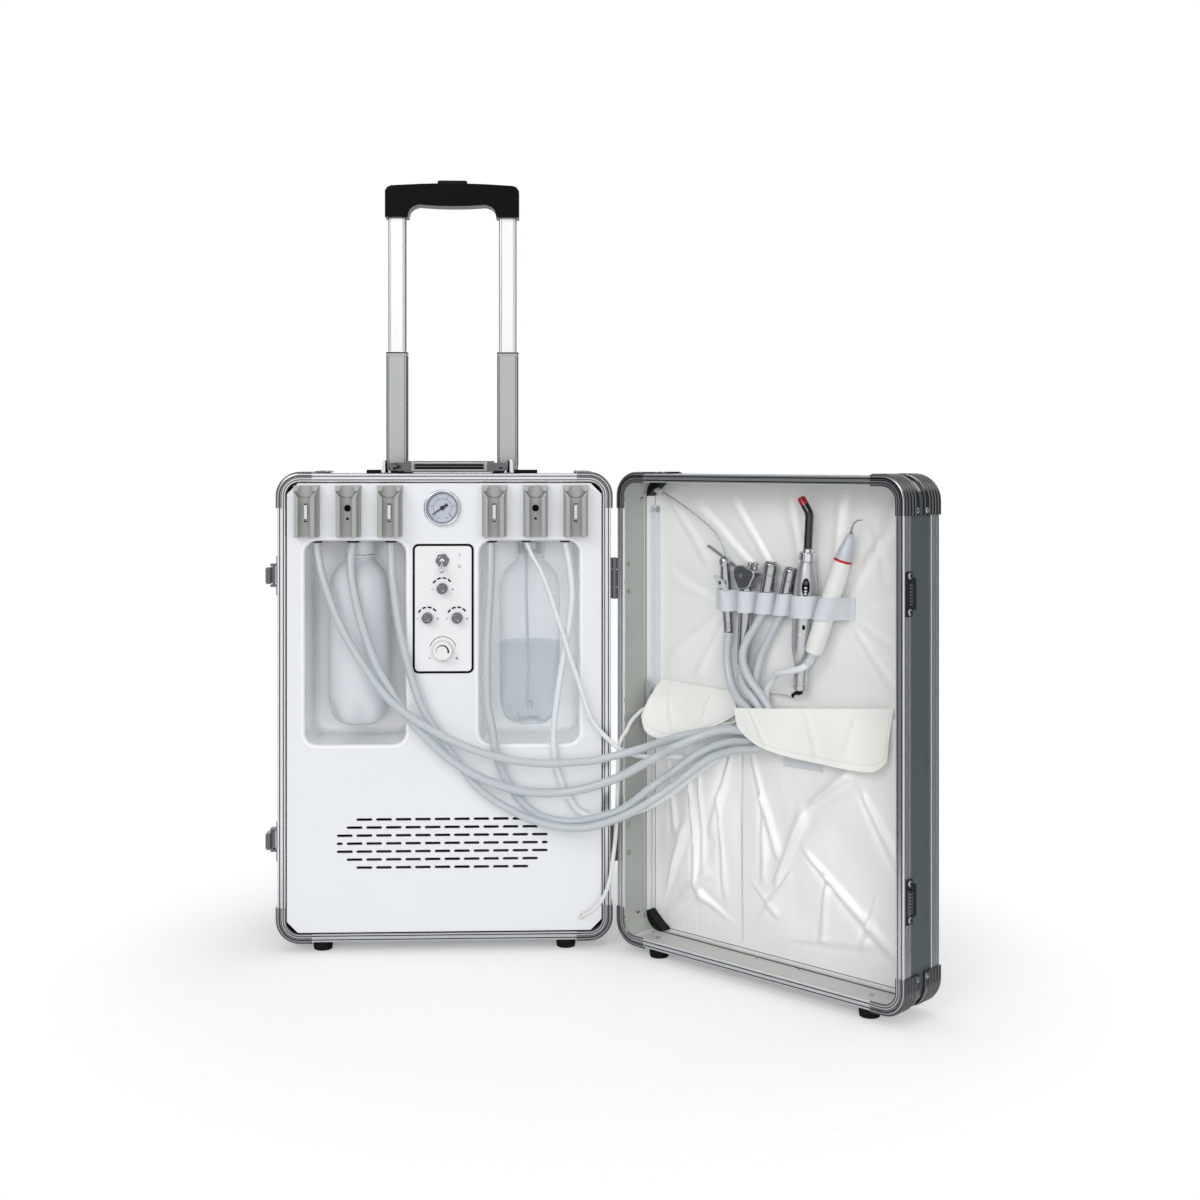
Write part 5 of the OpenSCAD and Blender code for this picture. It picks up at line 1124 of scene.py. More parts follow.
# ---------- carry handle ----------
dress("carry_handle", [DARKCHROME], 1.8, 4)
for k, (z0, z1, w, mt) in enumerate(((559.6, 561.9, 46, TUBE), (557.0, 559.2, 41, INK), (553.4, 556.0, 41, INK),
    (550.6, 552.8, 46, TUBE))):
    make("carry_stripe_%d" % k, box(-w, w, 87.7, 89, z0, z1), mt, "carry_handle", CASE, bevel=0.35)
for s in (-1, 1):
    make("carry_collar_%s" % "ab"[s > 0], box(s * 44 - 1.4, s * 44 + 1.4, 87.4, 89, 550.4, 562.4), TUBE,
        "carry_handle", CASE, bevel=0.4)
    lug = [(4.4, 0), (4.2, 2.2), (3.4, 4.2), (3.2, 12.4), (2.4, 14.6), (0.8, 15.8), (-0.8, 15.8), (-2.4, 14.6),
        (-3.2, 12.4), (-3.6, 4),
           (-6.6, 1.6), (-7.4, 0)]
    lug = [(s * (74.2 + x), z + 549) for x, z in lug]
    v_, f_ = prism([(x, -z) for x, z in lug], 0, 3)
    make("carry_lug_%s" % "ab"[s > 0], ([(x, 56 + y, -z) for x, z, y in v_], f_), WHITE, "case", CASE, bevel=0.7,
        seg=3)

# ---------- pull handle ----------
dress("trolley_guides", [BLACK], 1.6, 3)
dress("trolley_middle", [TUBE], 0.35, 2)
dress("trolley_top", [TUBE2], 0.35, 2)
for s in (-1, 1):
    for node, body, w, t, z0, z1 in (("mid", "trolley_middle", 26, 19, 558, 694), ("top", "trolley_top", 21.6, 14.6,
        700, 866.5)):
        # dark lines on the tubes' fronts near their edges and black lines on their sides: painted shade along the
        # tube edges
        for j, dx in enumerate((-w / 2 + 3.1, w / 2 - 3.1)):
            make("tube_line_%s%s%d" % (node, "ab"[s > 0], j), box(s * 69 + dx - 0.35, s * 69 + dx + 0.35,
                162 - t / 2 - 0.06,
                 162 - t / 2 + 0.3, z0, z1), DARK, body, CASE)
            e = s * 69 + (-1, 1)[j] * w / 2
            make("tube_edge_%s%s%d" % (node, "ab"[s > 0], j), box(e - 0.12, e + 0.12, 162 - t / 2 + 2.2,
                162 + t / 2 - 2.2, z0, z1), INK,
                 body, CASE)
    make("stage_collar_%s" % "ab"[s > 0], ring_prism(
        [(s * 69 + x, 162 + y) for x, y in rrect(26.9, 19.9, 3.2)], [(s * 69 + x, 162 + y) for x,
        y in rrect(22.4, 15.4, 2.4)],
        697.0, 698.7), BLACK, "trolley_middle", CASE, bevel=0.3)
dress("trolley_grip", [SOFTBLACK], 2.2, 4, min_angle=35)
dress("trolley_button", [BLACK], 2.2, 4)
make("grip_seam", box(-75, 75, 147.9, 148.5, 889.2, 889.7), INK, "trolley_top", CASE, bevel=0.15)
for s in (-1, 1):
    make("grip_screw_%s" % "ab"[s > 0], lathe([(0, 2.3), (0.5, 2.2), (0.9, 1.4), (0.9, 0)], 20), STEEL,
        "trolley_top",
         CASE @ along((s * 71, 149.6, 875.5), (s * 71, 140, 875.5)))

# ---------- inside of the lid ----------
make("wall_strip", box(9.5, 10.3, 45.5, 60.4, 30, 529), TUBE2, "lid", LID, bevel=0.3)
make("wall_bead", box(9.5, 10.6, 39.6, 41.4, 24, 535), ALU, "lid", LID, bevel=0.4)
make("wall_flange", box(9.5, 10.3, 0.9, 7.4, 26, 533), ALU, "lid", LID, bevel=0.3)
make("floor_flange", box(28, 363, 0.9, 7.4, 15.9, 16.7), ALU, "lid", LID, bevel=0.3)
make("floor_bead", box(24, 367, 46.4, 48.2, 15.9, 17.2), ALU, "lid", LID, bevel=0.4)
make("floor_line", box(24, 367, 45.6, 46.2, 15.9, 16.4), INK, "lid", LID)
make("wall_line", box(9.4, 9.9, 41.7, 42.4, 26, 533), INK, "lid", LID)
make("floor_strip", box(24, 367, 51.5, 59.6, 15.9, 16.8), TUBE2, "lid", LID, bevel=0.3)
for k, (u, v) in enumerate(((45, 25.2), (331.4, 28.5), (26.8, 37), (350.6, 6.0), (173.2, 42.5), (229.7, 42.5),
    (172.9, 54))):
    q = 2.9 if k < 2 else 1.3 if k < 4 else 0.8
    make("floor_rivet_%d" % k, lathe([(-0.3, q + 0.5), (0.3, q + 0.4), (0.5, q), (1.0, q * 0.6), (1.1, 0)], 20),
        STEEL, "lid",
         LID @ along((u, v, 16.0), (u, v, 18)))
for k, (v, z) in enumerate(((4.4, 519), (37, 518), (30, 39), (4.4, 37), (4.4, 287), (4.4, 443 - 20))):
    make("wall_rivet_%d" % k, lathe([(-0.3, 3.1), (0.3, 3.0), (0.8, 2.3), (1.2, 0)], 20), STEEL, "lid",
        LID @ along((9.7, v, z), (12, v, z)))
make("hook_strip", box(10.0, 18.4, 60.3, 61.6, 285, 512), WEB, "lid", LID, bevel=0.3)


def snap(name, p, d, r=3.6):
    make(name, lathe([(0, r), (0.5, r), (0.9, r * 0.86), (1.0, r * 0.6), (0.7, r * 0.5), (0.7, r * 0.3), (1.3,
        r * 0.24), (1.4, 0)],
                     28), STEEL, "lid", LID @ along(p, Vector(p) + Vector(d)))


snap("snap_0", (14.2, 60.4, 506), (0, -1, 0))
snap("snap_1", (14.2, 60.4, 292), (0, -1, 0))
for k, (u, z, dz) in enumerate(((9.8, 542.6, -1), (9.8, 16.4, 1))):
    V = [(u, v, z) for v in (45, 59.5)] + [(u + 26, v, z) for v in (45, 59.5)] + [(u, v, z + dz * 21) for v in (45,
        59.5)]
    make("corner_bit_%d" % k, (V, [(0, 1, 3, 2), (0, 4, 5, 1), (2, 3, 5, 4), (0, 2, 4), (1, 5, 3)]), BLACK, "lid",
        LID, bevel=0.8)

# ---------- tools ----------
def turned(name, a, b, prof, material, n=48, shape=None, replaces=()):
    make(name, lathe(prof, n, shape), material, "lid", LID @ along(a, b), replaces=replaces)


S0, S1 = (128.5, 50, 371.3), (123.8, 48, 455.7)
r = 6.5
turned("suction_form", S0, S1, [
    (0, 0), (0, r - 1.5), (0.6, r - 0.9), (2, r - 0.7), (5, r - 0.7), (5.3, r - 1.1), (6, r - 1.1), (6.3, r - 0.7),
    (9, r - 0.7), (9.3, r - 1.1), (10, r - 1.1), (10.3, r - 0.7), (21.6, r - 0.7), (22.4, r - 0.1), (23.2, r), (44,
    r),
    (44.3, r - 0.35), (45, r - 0.35), (45.3, r), (61, r), (65, r - 0.3), (70, r - 0.9), (74, r - 1.2), (75,
    r - 0.7),
    (76.5, r - 0.2), (79, r - 0.1), (81, r - 0.5), (82.5, r - 1.2), (83.6, r - 1.9), (84.4, r - 2.6), (84.4, 3.2),
    (80, 3.15)],
    TOOL, replaces=("suction_handle",))
make("suction_boss", lathe([(0, 3.9), (3.0, 3.9), (3.5, 3.5), (3.7, 2.9), (3.7, 1.7), (-2, 1.7)], 32), TOOL, "lid",
     LID @ along((126, 44.5, 427), (126, 40, 427)))
q = LID @ Matrix.Translation((126, 0, 427)) @ OUT @ Matrix.Rotation(math.radians(-42), 4, "Z")
blade = []
for k in range(48):
    a = 2 * math.pi * k / 48
    blade.append((12.2 * math.cos(a), (3.3 + 0.9 * math.exp(-(math.cos(a) * 2.2) ** 2)) * math.sin(a)))
make("suction_lever_form", join(prism(blade, -39.8, -36.8), lathe([(-42, 1.5), (-37, 1.5)], 20)),
     PEARL, "suction_lever", q, bevel=0.7, seg=3, replaces=("suction_lever",))
make("suction_lever_cap", lathe([(-36.9, 2.4), (-36.5, 2.3), (-36.3, 1.6), (-36.25, 0)], 24), STEEL,
    "suction_lever", q)

Y0, Y1 = (148.4, 50, 336), (155.8, 48, 431)
r = 7.5
turned("syringe_form", Y0, Y1, [
    (0, 0), (0, r - 1.9), (0.7, r - 1.4), (2, r - 0.8), (5, r - 0.6), (5.3, r - 1.1), (6.2, r - 1.1), (6.5,
    r - 0.5),
    (9, r - 0.4), (9.3, r - 0.9), (10.2, r - 0.9), (10.5, r - 0.3), (20, r), (48, r), (49, r - 0.3), (50, r), (72,
    r),
    (80, r - 0.35), (88, r - 0.8), (92, r - 0.8), (93.5, r - 1.4), (94, 0)], TOOL, replaces=("syringe_body",))
head = [(145, 428), (142.9, 432), (142, 436), (141.4, 439), (141.8, 442), (143.5, 445), (145.6, 446.7), (148,
    447.5), (151, 447.9),
        (155, 447.8), (158, 446.8), (161, 445.5), (166, 443.6), (169, 442.2), (170.4, 441), (170.9, 438.6), (170.6,
        436),
        (169, 433), (167, 430), (165.4, 426.4), (163, 423), (158, 421.4), (150, 420.6), (147.2, 422.6)]
make("syringe_head", ([(u, v, z) for v in (40.5, 55.5) for u, z in head],
                      [tuple(range(24)), tuple(range(47, 23, -1))] +
                      [(k, (k + 1) % 24, (k + 1) % 24 + 24, k + 24) for k in range(24)]), TOOL, "lid", LID,
                      bevel=2.6, seg=4)
make("syringe_badge", moved(lathe([(-0.3, 2.0), (0.3, 2.0), (0.5, 1.6), (0.5, 0)], 24), out_of_panel(151.5, 436,
    40.6)), STEEL,
     "lid", LID)
make("nozzle", sweep([(144, 54.4, 440), (139, 54.6, 442.7), (118, 55.2, 454), (104, 55.7, 461.5), (97, 55.9, 465.2),
    (93.6, 56, 466.6)],
                     [2.6, 1.75, 1.7, 1.65, 1.6, 1.55], 20), TOOL, "lid", LID)
turned("nozzle_nut", (143.4, 54.4, 440.3), (95.6, 56, 466), [(0, 0), (0, 3.2), (5, 3.2), (6, 2.5), (6, 0)], STEEL,
    24)
for node, x in (("syringe_air_button", 157.5), ("syringe_water_button", 164.8)):
    m = LID @ Matrix.Translation((x, 48, 438)) @ Matrix.Rotation(math.radians(14), 4, "Y")
    make(node + "_form", lathe([(3.4, 0), (3.4, 2.4), (10.6, 2.4), (10.9, 2.9), (11.2, 3.2), (12.6, 3.2), (13.2,
        2.9), (13.5, 2.2),
                                (13.3, 1.2), (13.2, 0)], 32), STEEL, node, m, replaces=(node,))
    make(node + "_collar", lathe([(6.2, 0), (6.2, 3.6), (7.9, 3.6), (8.3, 3.3), (8.3, 2.6)], 32), TOOL, "lid", m)

for k, (a, b) in enumerate((((178.3, 49.5, 400), (188.5, 49.5, 451.5)), ((203.4, 49.5, 400),
    (215.4, 49.5, 446.2)))):
    n = (Vector(b) - Vector(a)).length
    r = 8

    def flute(t, z, q, n=n):
        return q - (0.5 * (0.5 + 0.5 * math.cos(12 * t)) if n - 11.5 < z < n - 3 and q > 6 else 0)
    turned("connector_%d" % k, a, b, [
        (0, 0), (0, r - 2.8), (1, r - 2.0), (2, r - 1.2), (8, r - 1.1), (8.3, r - 1.5), (9.2, r - 1.5), (9.5,
        r - 1.05),
        (15.6, r - 1), (17.4, r - 0.1), (18, r), (n - 14, r), (n - 13.6, r - 0.5), (n - 12.6, r - 0.5), (n - 12, r),
        (n - 3, r),
        (n - 2.6, r - 0.5), (n - 1.8, r - 0.5), (n - 1.4, r - 0.1), (n - 0.6, r - 0.3), (n, r - 0.9), (n, 0)], TOOL,
        96,
        flute, ("hose_connectors",) if k == 0 else ())
    m = LID @ along(a, b) @ Matrix.Translation((0, 0, n))
    for j in range(4):
        t = math.radians(90 * j + 20)
        make("port_%d%d" % (k, j), lathe([(-0.6, 1.5), (0.35, 1.5), (0.5, 1.3), (0.5, 0.9), (-0.2, 0.8), (-0.2, 0)],
            16), STEEL, "lid",
             m @ Matrix.Translation((4.2 * math.cos(t), 4.2 * math.sin(t), 0)))
    make("port_seal_%d" % k, lathe([(-0.2, 6.4), (0.3, 6.4), (0.45, 6.0), (0.3, 5.7), (-0.2, 5.7)], 40), BLACK,
        "lid", m)

G0, G1 = (228.5, 47, 316.2), (239.3, 45.5, 466)
r = 12.5
turned("light_form", G0, G1, [
    (0, 0), (0, 6.4), (0.8, 7.2), (2, 7.6), (6, 7.7), (6.3, 7.2), (7.2, 7.2), (7.5, 7.7), (10, 7.75), (10.3, 7.25),
    (11.2, 7.25),
    (11.5, 7.75), (26, 7.9), (30, 8.5), (36, 10.0), (42, 11.3), (48, 12.0), (60, 12.5), (61, 12.5), (61.4, 12.2),
    (62.2, 12.2),
    (62.6, 12.5), (108, 12.5), (114, 12.3), (121, 11.5), (128, 10.3), (134, 9.1), (139, 8.1), (139.4, 7.3), (140.4,
    7.3),
    (140.6, 8.2), (141.6, 8.6), (148.4, 8.6), (149.4, 8.2), (150, 7.2), (150, 4.3), (144, 4.2)], SILVER, 64,
    replaces=("curing_light",))
turned("light_collar", G0, G1, [(141.2, 4.4), (141.2, 8.7), (142, 9.0), (147.6, 9.0), (148.6, 8.6), (148.9, 8),
    (148.9, 4.4)],
       CHROME, 64, lambda a, z, q: q - (0.35 * (0.5 + 0.5 * math.cos(20 * a)) if q > 8.6 and 141.8 < z < 148 else 0))
lm = LID @ along(G0, G1)
# the frame whose x axis is the front of the light, seen from the camera
ax = (lm.to_3x3() @ Vector((0, 0, 1))).normalized()
view = (Vector(cam.location) - lm @ Vector((0, 0, 90)))
view = (view - ax * view.dot(ax)).normalized()
loc = lm.inverted().to_3x3() @ view
front = math.atan2(loc.y, loc.x)
fm = lm @ Matrix.Rotation(front, 4, "Z")


def pad(z0, w, h, dr, thick, n=28, r=12.5):
    """A thin oval laid on the light's round body, centred at z0 in the front."""
    V, F = [], []
    rings = 5
    for lay in (0, 1):
        for i in range(rings + 1):
            for k in range(n):
                a = 2 * math.pi * k / n
                t, z = i / rings * w / 2 * math.cos(a), i / rings * h / 2 * math.sin(a)
                rr = r + dr + (thick * (1 - (i / rings) ** 6) if lay else -0.3)
                V.append((rr * math.cos(t / r), rr * math.sin(t / r), z0 + z))
    for lay in (0, 1):
        o = lay * (rings + 1) * n
        for i in range(rings):
            for k in range(n):
                j = (k + 1) % n
                F.append((o + i * n + k, o + i * n + j, o + (i + 1) * n + j, o + (i + 1) * n + k))
    o1, o2 = rings * n, (2 * rings + 1) * n
    for k in range(n):
        j = (k + 1) % n
        F.append((o1 + k, o1 + j, o2 + j, o2 + k))
    return V, F


make("light_keypad", pad(113, 8.6, 20, 0.0, 0.35), INK, "lid", fm, angle=60)
make("light_display", pad(118, 4.6, 5.0, 0.3, 0.2), DARK, "lid", fm, angle=60)
for k, z in enumerate((112.6, 109.0, 106.0)):
    make("light_key_%d" % k, pad(z, 3.6, 2.6, 0.3, 0.5), NOSE, "lid", fm, angle=60)
make("light_switch", pad(70, 3.4, 5.6, 0.0, 0.5), INK, "lid", fm, angle=60)

d = (Vector(G1) - Vector(G0)).normalized()
side = Vector((0, 1, 0)).cross(d).normalized()
p0 = Vector(G0) + 140.4 * d
bend = 14
path = [p0 + t * d for t in (0, 8, 16, 23, 30, 38, 44)]
path += [p0 + (46 + bend * math.sin(math.radians(a))) * d - bend * (1 - math.cos(math.radians(a))) * side for a in range(0, 39, 4)]
tip = path[-1]
dd = (d * math.cos(math.radians(38)) - side * math.sin(math.radians(38)))
path += [tip + dd * t for t in (3, 7)]
make("guide_form", sweep(path + [tip + dd * 6.4], 4.68, 28), GLASSBLACK, "light_guide", LID,
    replaces=("light_guide",), angle=50)
make("guide_end", sweep([tip + dd * t for t in (6.4, 9, 13, 15.2, 15.9)], [4.7, 4.7, 4.7, 4.5, 3.9], 28), GLASSRED,
    "light_guide",
     LID, angle=50)
make("guide_ring", lathe([(9.2, 4.6), (9.2, 5.6), (12.8, 5.6), (13.2, 5.2), (13.2, 4.6)], 32), CHROME,
    "light_guide",
     LID @ along(G0, G1) @ Matrix.Translation((0, 0, 140.4)))

K0, K1 = (251.6, 38, 358.2), (285.9, 46, 463.2)
r = 10
turned("scaler_form", K0, K1, [
    (0, 0), (0, 6.6), (0.8, 7.4), (1.4, 8.6), (2.4, 9.0), (5, 9.4), (5.3, 9.0), (6.3, 9.0), (6.6, 9.5), (10, 9.8),
    (14, 10), (30, 10),
    (60, 9.9), (80, 9.95), (96, 10), (99, 9.9), (99.3, 9.6), (100, 9.6), (100.2, 9.8), (104.4, 9.6), (104.6, 9.2),
    (105, 9.2)], WAND,
    64, replaces=("scaler_handpiece",))
turned("scaler_ring", K0, K1, [(104.7, 8), (104.7, 9.65), (105.3, 9.75), (106.8, 9.6), (107.2, 9.3), (107.2, 8)],
    RED, 64)
turned("scaler_nose", K0, K1, [
    (107.0, 0), (107.0, 9.1), (110, 8.95), (114, 8.3), (118, 7.4), (122, 6.5), (126, 5.8), (129, 5.2), (130.6, 4.8),
    (130.8, 4.2),
    (131.8, 4.2), (132, 4.4), (132.8, 4.0), (134, 3.2), (135, 2.6), (135.2, 0)], NOSE, 48)
turned("scaler_nut", K0, K1, [(134.4, 0), (134.4, 2.3), (137.2, 2.2), (138, 1.4), (138.2, 0)], STEEL, 8)
d = (Vector(K1) - Vector(K0)).normalized()
p = Vector(K0) + 134 * d
tipq = spline([p, p + Vector((1, -0.2, 6)), p + Vector((3.4, -0.4, 11.6)), p + Vector((8, -0.6, 15.4)),
               p + Vector((15, -0.6, 16.6))], 8)
make("scaler_tip", sweep(tipq, [1.25 - 0.75 * i / (len(tipq) - 1) for i in range(len(tipq))], 14), STEEL, "lid",
    LID)

st = spline([(20.5, 51.5, 529.5), (52, 50.5, 515.5), (83, 49, 499.4), (104, 48.4, 486), (116, 48.2, 474),
             (121.5, 48, 464.5), (124.1, 48.1, 455), (124.3, 48.2, 449)], 8)
make("saliva_form", sweep(st, 2.9, 20), CLEAR, "lid", LID, replaces=("saliva_tip",), angle=50)
make("saliva_wire", sweep([q + Vector((0, 0.9, 0.6)) for q in st], 0.5, 8), STEEL, "lid", LID)
make("saliva_end", sweep([Vector((17.4, 51.6, 530.7)), Vector((18.4, 51.6, 530.4)), Vector((20, 51.5, 529.7)),
    Vector((25, 51.35, 527.6)),
                          Vector((26.5, 51.3, 526.9))], [2.4, 3.3, 3.6, 3.6, 3.2], 20), NOSE, "lid", LID)


# ---------- cloth in the lid ----------
LU0, LU1, TOPZ, LD_, WALL = 5.6, 385.6, 547, 66, 4
SEAMS = [108, 140, 166, 191.3, 218.5, 253.4, 286]
STRAP_Z, STRAP_H = 407, 24


def soft(x, a, b):
    t = min(1, max(0, (x - a) / (b - a)))
    return t * t * (3 - 2 * t)


def base_lining(u, z):
    """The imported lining's front, which the finer one keeps close to."""
    s = math.radians
    return LD_ - WALL - 1.3 - soft(u, 14, 40) * (1 - soft(u, LU1 - 34, LU1 - 8)) * soft(z, 20, 60) * \
        (1 - soft(z, TOPZ - 47, TOPZ - 9)) * (0.9 + 0.5 * math.sin(s(2.3 * u + 1.1 * z)) + 0.4 * math.sin(s(3.1 * u - 2.2 * z))
                                              + 0.3 * math.sin(s(5 * z)))


def ridge(u, z, u0, z0, u1, z1, w, h, fade=0.15):
    """A drawn fold from one point to another: a rounded ridge with a sharper side."""
    dx, dz = u1 - u0, z1 - z0
    ln = math.hypot(dx, dz)
    t = ((u - u0) * dx + (z - z0) * dz) / ln / ln
    if t < 0 or t > 1:
        return 0
    d = ((u - u0) * dz - (z - z0) * dx) / ln
    a = soft(t, 0, fade) * (1 - soft(t, 1 - fade, 1))
    ww = w * (0.45 + 0.9 * t)
    return h * a * math.exp(-(d / ww) ** 2) - 0.45 * h * a * math.exp(-((d - 1.5 * ww) / ww) ** 2)


LINING_FOLDS = [
    (186, 420, 60, 525, 5, 1.6), (200, 420, 118, 532, 4, 1.4), (226, 425, 200, 535, 5, 1.2), (262, 425, 275, 535, 5,
    1.4),
    (286, 420, 350, 528, 6, 1.8), (290, 405, 372, 440, 6, 1.5), (288, 396, 372, 350, 5, 1.3), (284, 392, 350, 312,
    4, 1.2),
    (108, 400, 30, 430, 6, 1.2), (106, 390, 24, 330, 5, 1.3), (20, 536, 96, 440, 5, 1.3), (376, 536, 300, 450, 5,
    1.4),
    (330, 300, 376, 372, 5, 1.1), (120, 395, 70, 310, 4, 1.1), (152, 318, 120, 395, 4, 1.0), (312, 500, 330, 430, 5,
    1.0)]


def lining(u, z):
    v = base_lining(u, z)
    e = soft(u, 12, 30) * (1 - soft(u, LU1 - 26, LU1 - 8)) * soft(z, 18, 40) * (1 - soft(z, TOPZ - 30, TOPZ - 9))
    f = sum(ridge(u, z, *g_) for g_ in LINING_FOLDS)
    f += 0.5 * noise.noise(Vector((u * 0.022, z * 0.03, 1.7))) + 0.22 * noise.noise(Vector((u * 0.07, z * 0.05,
        5.1)))
    return min(v - 1.5 * e * f, LD_ - WALL - 0.9)


def grid_mesh(name, P, thick, material, m):
    """A closed sheet from rows of points on its front."""
    r, c = len(P), len(P[0])
    V = [m @ Vector(p) for row in P for p in row]
    F = [(i * c + j, i * c + j + 1, (i + 1) * c + j + 1,
        (i + 1) * c + j) for i in range(r - 1) for j in range(c - 1)]
    me = bpy.data.meshes.new(name)
    me.from_pydata([tuple(v) for v in V], [], F)
    bm = bmesh.new()
    bm.from_mesh(me)
    bpy.data.meshes.remove(me)
    bmesh.ops.remove_doubles(bm, verts=bm.verts, dist=2e-6)
    bmesh.ops.recalc_face_normals(bm, faces=bm.faces)
    bm.normal_update()
    # the front must look out of the lid
    out = (m.to_3x3() @ Vector((0, -1, 0))).normalized()
    s = sum(f.normal.dot(out) * f.calc_area() for f in bm.faces)
    if s < 0:
        bmesh.ops.reverse_faces(bm, faces=bm.faces)
        bm.normal_update()
    top = list(bm.faces)
    nrm = {v.index: v.normal.copy() for v in bm.verts}
    bm.verts.ensure_lookup_table()
    old = list(bm.verts)
    back = {v: bm.verts.new(v.co - nrm[v.index] * thick / 1000) for v in old}
    rim_e = [e for e in bm.edges if len(e.link_faces) == 1]
    for f in top:
        bm.faces.new([back[v] for v in reversed(f.verts)])
    for e in rim_e:
        lf = e.link_faces[0]
        a, b = e.verts
        vs = list(lf.verts)
        i = vs.index(a)
        if vs[(i + 1) % len(vs)] is b:
            bm.faces.new([b, a, back[a], back[b]])
        else:
            bm.faces.new([a, b, back[b], back[a]])
    bm.normal_update()
    for f in bm.faces:
        f.smooth = True
    me = bpy.data.meshes.new(name)
    bm.to_mesh(me)
    bm.free()
    me.set_sharp_from_angle(angle=math.radians(75))
    me.materials.append(material)
    return link(bpy.data.objects.new(name, me))


def inner_point(s, t):
    """A place on the back of the lid, its corners drawn in along the rounded corners."""
    u = LU0 + WALL + 1 + (372 - 2) * s
    z = 12 + WALL + 1 + (527 - 2) * (1 - t)
    rc = 19
    du = max(0, (LU0 + WALL + 1 + rc) - u, u - (LU1 - WALL - 1 - rc))
    dz = max(0, (12 + WALL + 1 + rc) - z, z - (TOPZ - WALL - 1 - rc))
    if du > 0 and dz > 0:
        k = rc / max(math.hypot(du, dz), max(du, dz))
        q = max(du, dz) / math.hypot(du, dz)
        u -= math.copysign(du * (1 - q), u - 195)
        z -= math.copysign(dz * (1 - q), z - 280)
    return u, z


rows = []
NR_, NC_ = 150, 116
for i in range(NR_ + 1):
    row = []
    for j in range(NC_ + 1):
        u, z = inner_point(j / NC_, i / NR_)
        row.append((u, lining(u, z), z))
    rows.append(row)
o = grid_mesh("lining_cloth", rows, 0.8, SATIN, LID)
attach(o, "lid")
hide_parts("lid_lining")


def pocket_base(u0, u1, s, t):
    r_ = math.radians
    u, z = u0 + (u1 - u0) * s, 296 - (296 - 22) * t
    b = math.sin(r_(180 * s)) * math.sin(r_(180 * (0.12 + 0.86 * t)))
    return u, base_lining(u, z) - 1.8 - b * (5 + 1.3 * math.sin(r_(3.4 * u + 2.6 * z)) + math.sin(r_(4.1 * u - 3.3 * z))), z, b


PF_A = [(66, 262, 78, 60, 3.2, 2.6), (84, 255, 88, 90, 3, 2.0), (20, 34, 62, 150, 4, 2.4), (24, 30, 100, 100, 4.5,
    2.0),
        (136, 40, 74, 70, 3.6, 2.0), (128, 240, 96, 130, 4, 1.8), (30, 235, 48, 120, 4, 1.6), (110, 200, 118, 60, 3,
        1.5)]
PF_B = [(148, 255, 196, 118, 5, 2.8), (186, 92, 232, 190, 5, 3.0), (232, 190, 292, 236, 5, 2.6), (222, 150, 366, 30,
    6, 2.8),
        (150, 100, 196, 60, 4, 2.0), (200, 40, 330, 60, 5, 1.8), (300, 220, 362, 120, 5, 2.2), (260, 130, 250, 40,
        4, 1.6),
        (320, 110, 300, 36, 4, 1.6), (170, 200, 172, 90, 3.4, 1.8), (344, 226, 366, 160, 4, 1.8), (214, 120, 160,
        46, 4, 2.0)]


def pocket_cloth(name, u0, u1, folds, nc, tag):
    rows = []
    nr = 110
    for i in range(nr + 1):
        row = []
        t = i / nr
        for j in range(nc + 1):
            s = j / nc
            u, v, z, b = pocket_base(u0, u1, s, t)
            e = min(1, b * 2.4)
            f = sum(ridge(u, z, *g_) for g_ in folds)
            f += 0.8 * noise.noise(Vector((u * 0.03, z * 0.025, 9.3))) + 0.3 * noise.noise(Vector((u * 0.09,
                z * 0.05, 2.2)))
            # gathers where it is sewn
            edge = math.exp(-((1 - t) * 274 / 16) ** 2)
            f += edge * 0.5 * math.sin(u * 0.62 + 2 * noise.noise(Vector((u * 0.05, 3, 0))))
            v2 = v - 1.75 * e * f
            row.append((u, min(v2, lining(u, z) - 0.75), z))
        rows.append(row)
    o = grid_mesh(name, rows, 0.7, SATIN, LID)
    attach(o, "lid")
    if tag:
        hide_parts("lid_pockets")
    return o, rows


pa, pa_rows = pocket_cloth("pocket_left", 16, 140, PF_A, 64, True)
pb, pb_rows = pocket_cloth("pocket_right", 143, 374, PF_B, 110, False)


def lookup(e, s, k):
    if s <= e[0][3]:
        return e[0][k]
    for a, b in zip(e, e[1:]):
        if s <= b[3]:
            w = (s - a[3]) / (b[3] - a[3])
            return a[k] + (b[k] - a[k]) * w
    return e[-1][k]


def smooth_line(e, n=200):
    """The line through the given points, rounded a little."""
    q = [[lookup(e, i / n, k) for k in range(3)] for i in range(n + 1)]
    for _ in range(40):
        q = [q[0]] + [[(q[i - 1][k] + 2 * q[i][k] + q[i + 1][k]) / 4 for k in range(3)] for i in range(1,
            n)] + [q[-1]]
    return q


FA_TOP = [(23, 57, 308, 0), (128, 56, 304, 1)]
FA_EDGE = [(21, 24, 268, 0), (22, 24, 254, 0.1), (29, 28, 246, 0.25), (45, 33, 242, 0.38), (70, 39, 247, 0.56), (90,
    44, 253, 0.7),
           (104, 46.4, 260, 0.8), (118, 48.6, 267, 0.88), (140, 52.5, 281, 1)]
FB_TOP = [(152, 28.5, 291, 0), (205, 31, 295.5, 0.3), (339, 57.9, 307, 1)]
FB_EDGE = [(158, 27, 272, 0), (168, 26, 262, 0.08), (190, 26, 252, 0.2), (230, 31, 245, 0.4), (300, 36, 241, 0.76),
    (324, 39, 240.4, 0.9), (333, 42, 244, 0.95),
           (338, 47, 253, 1)]


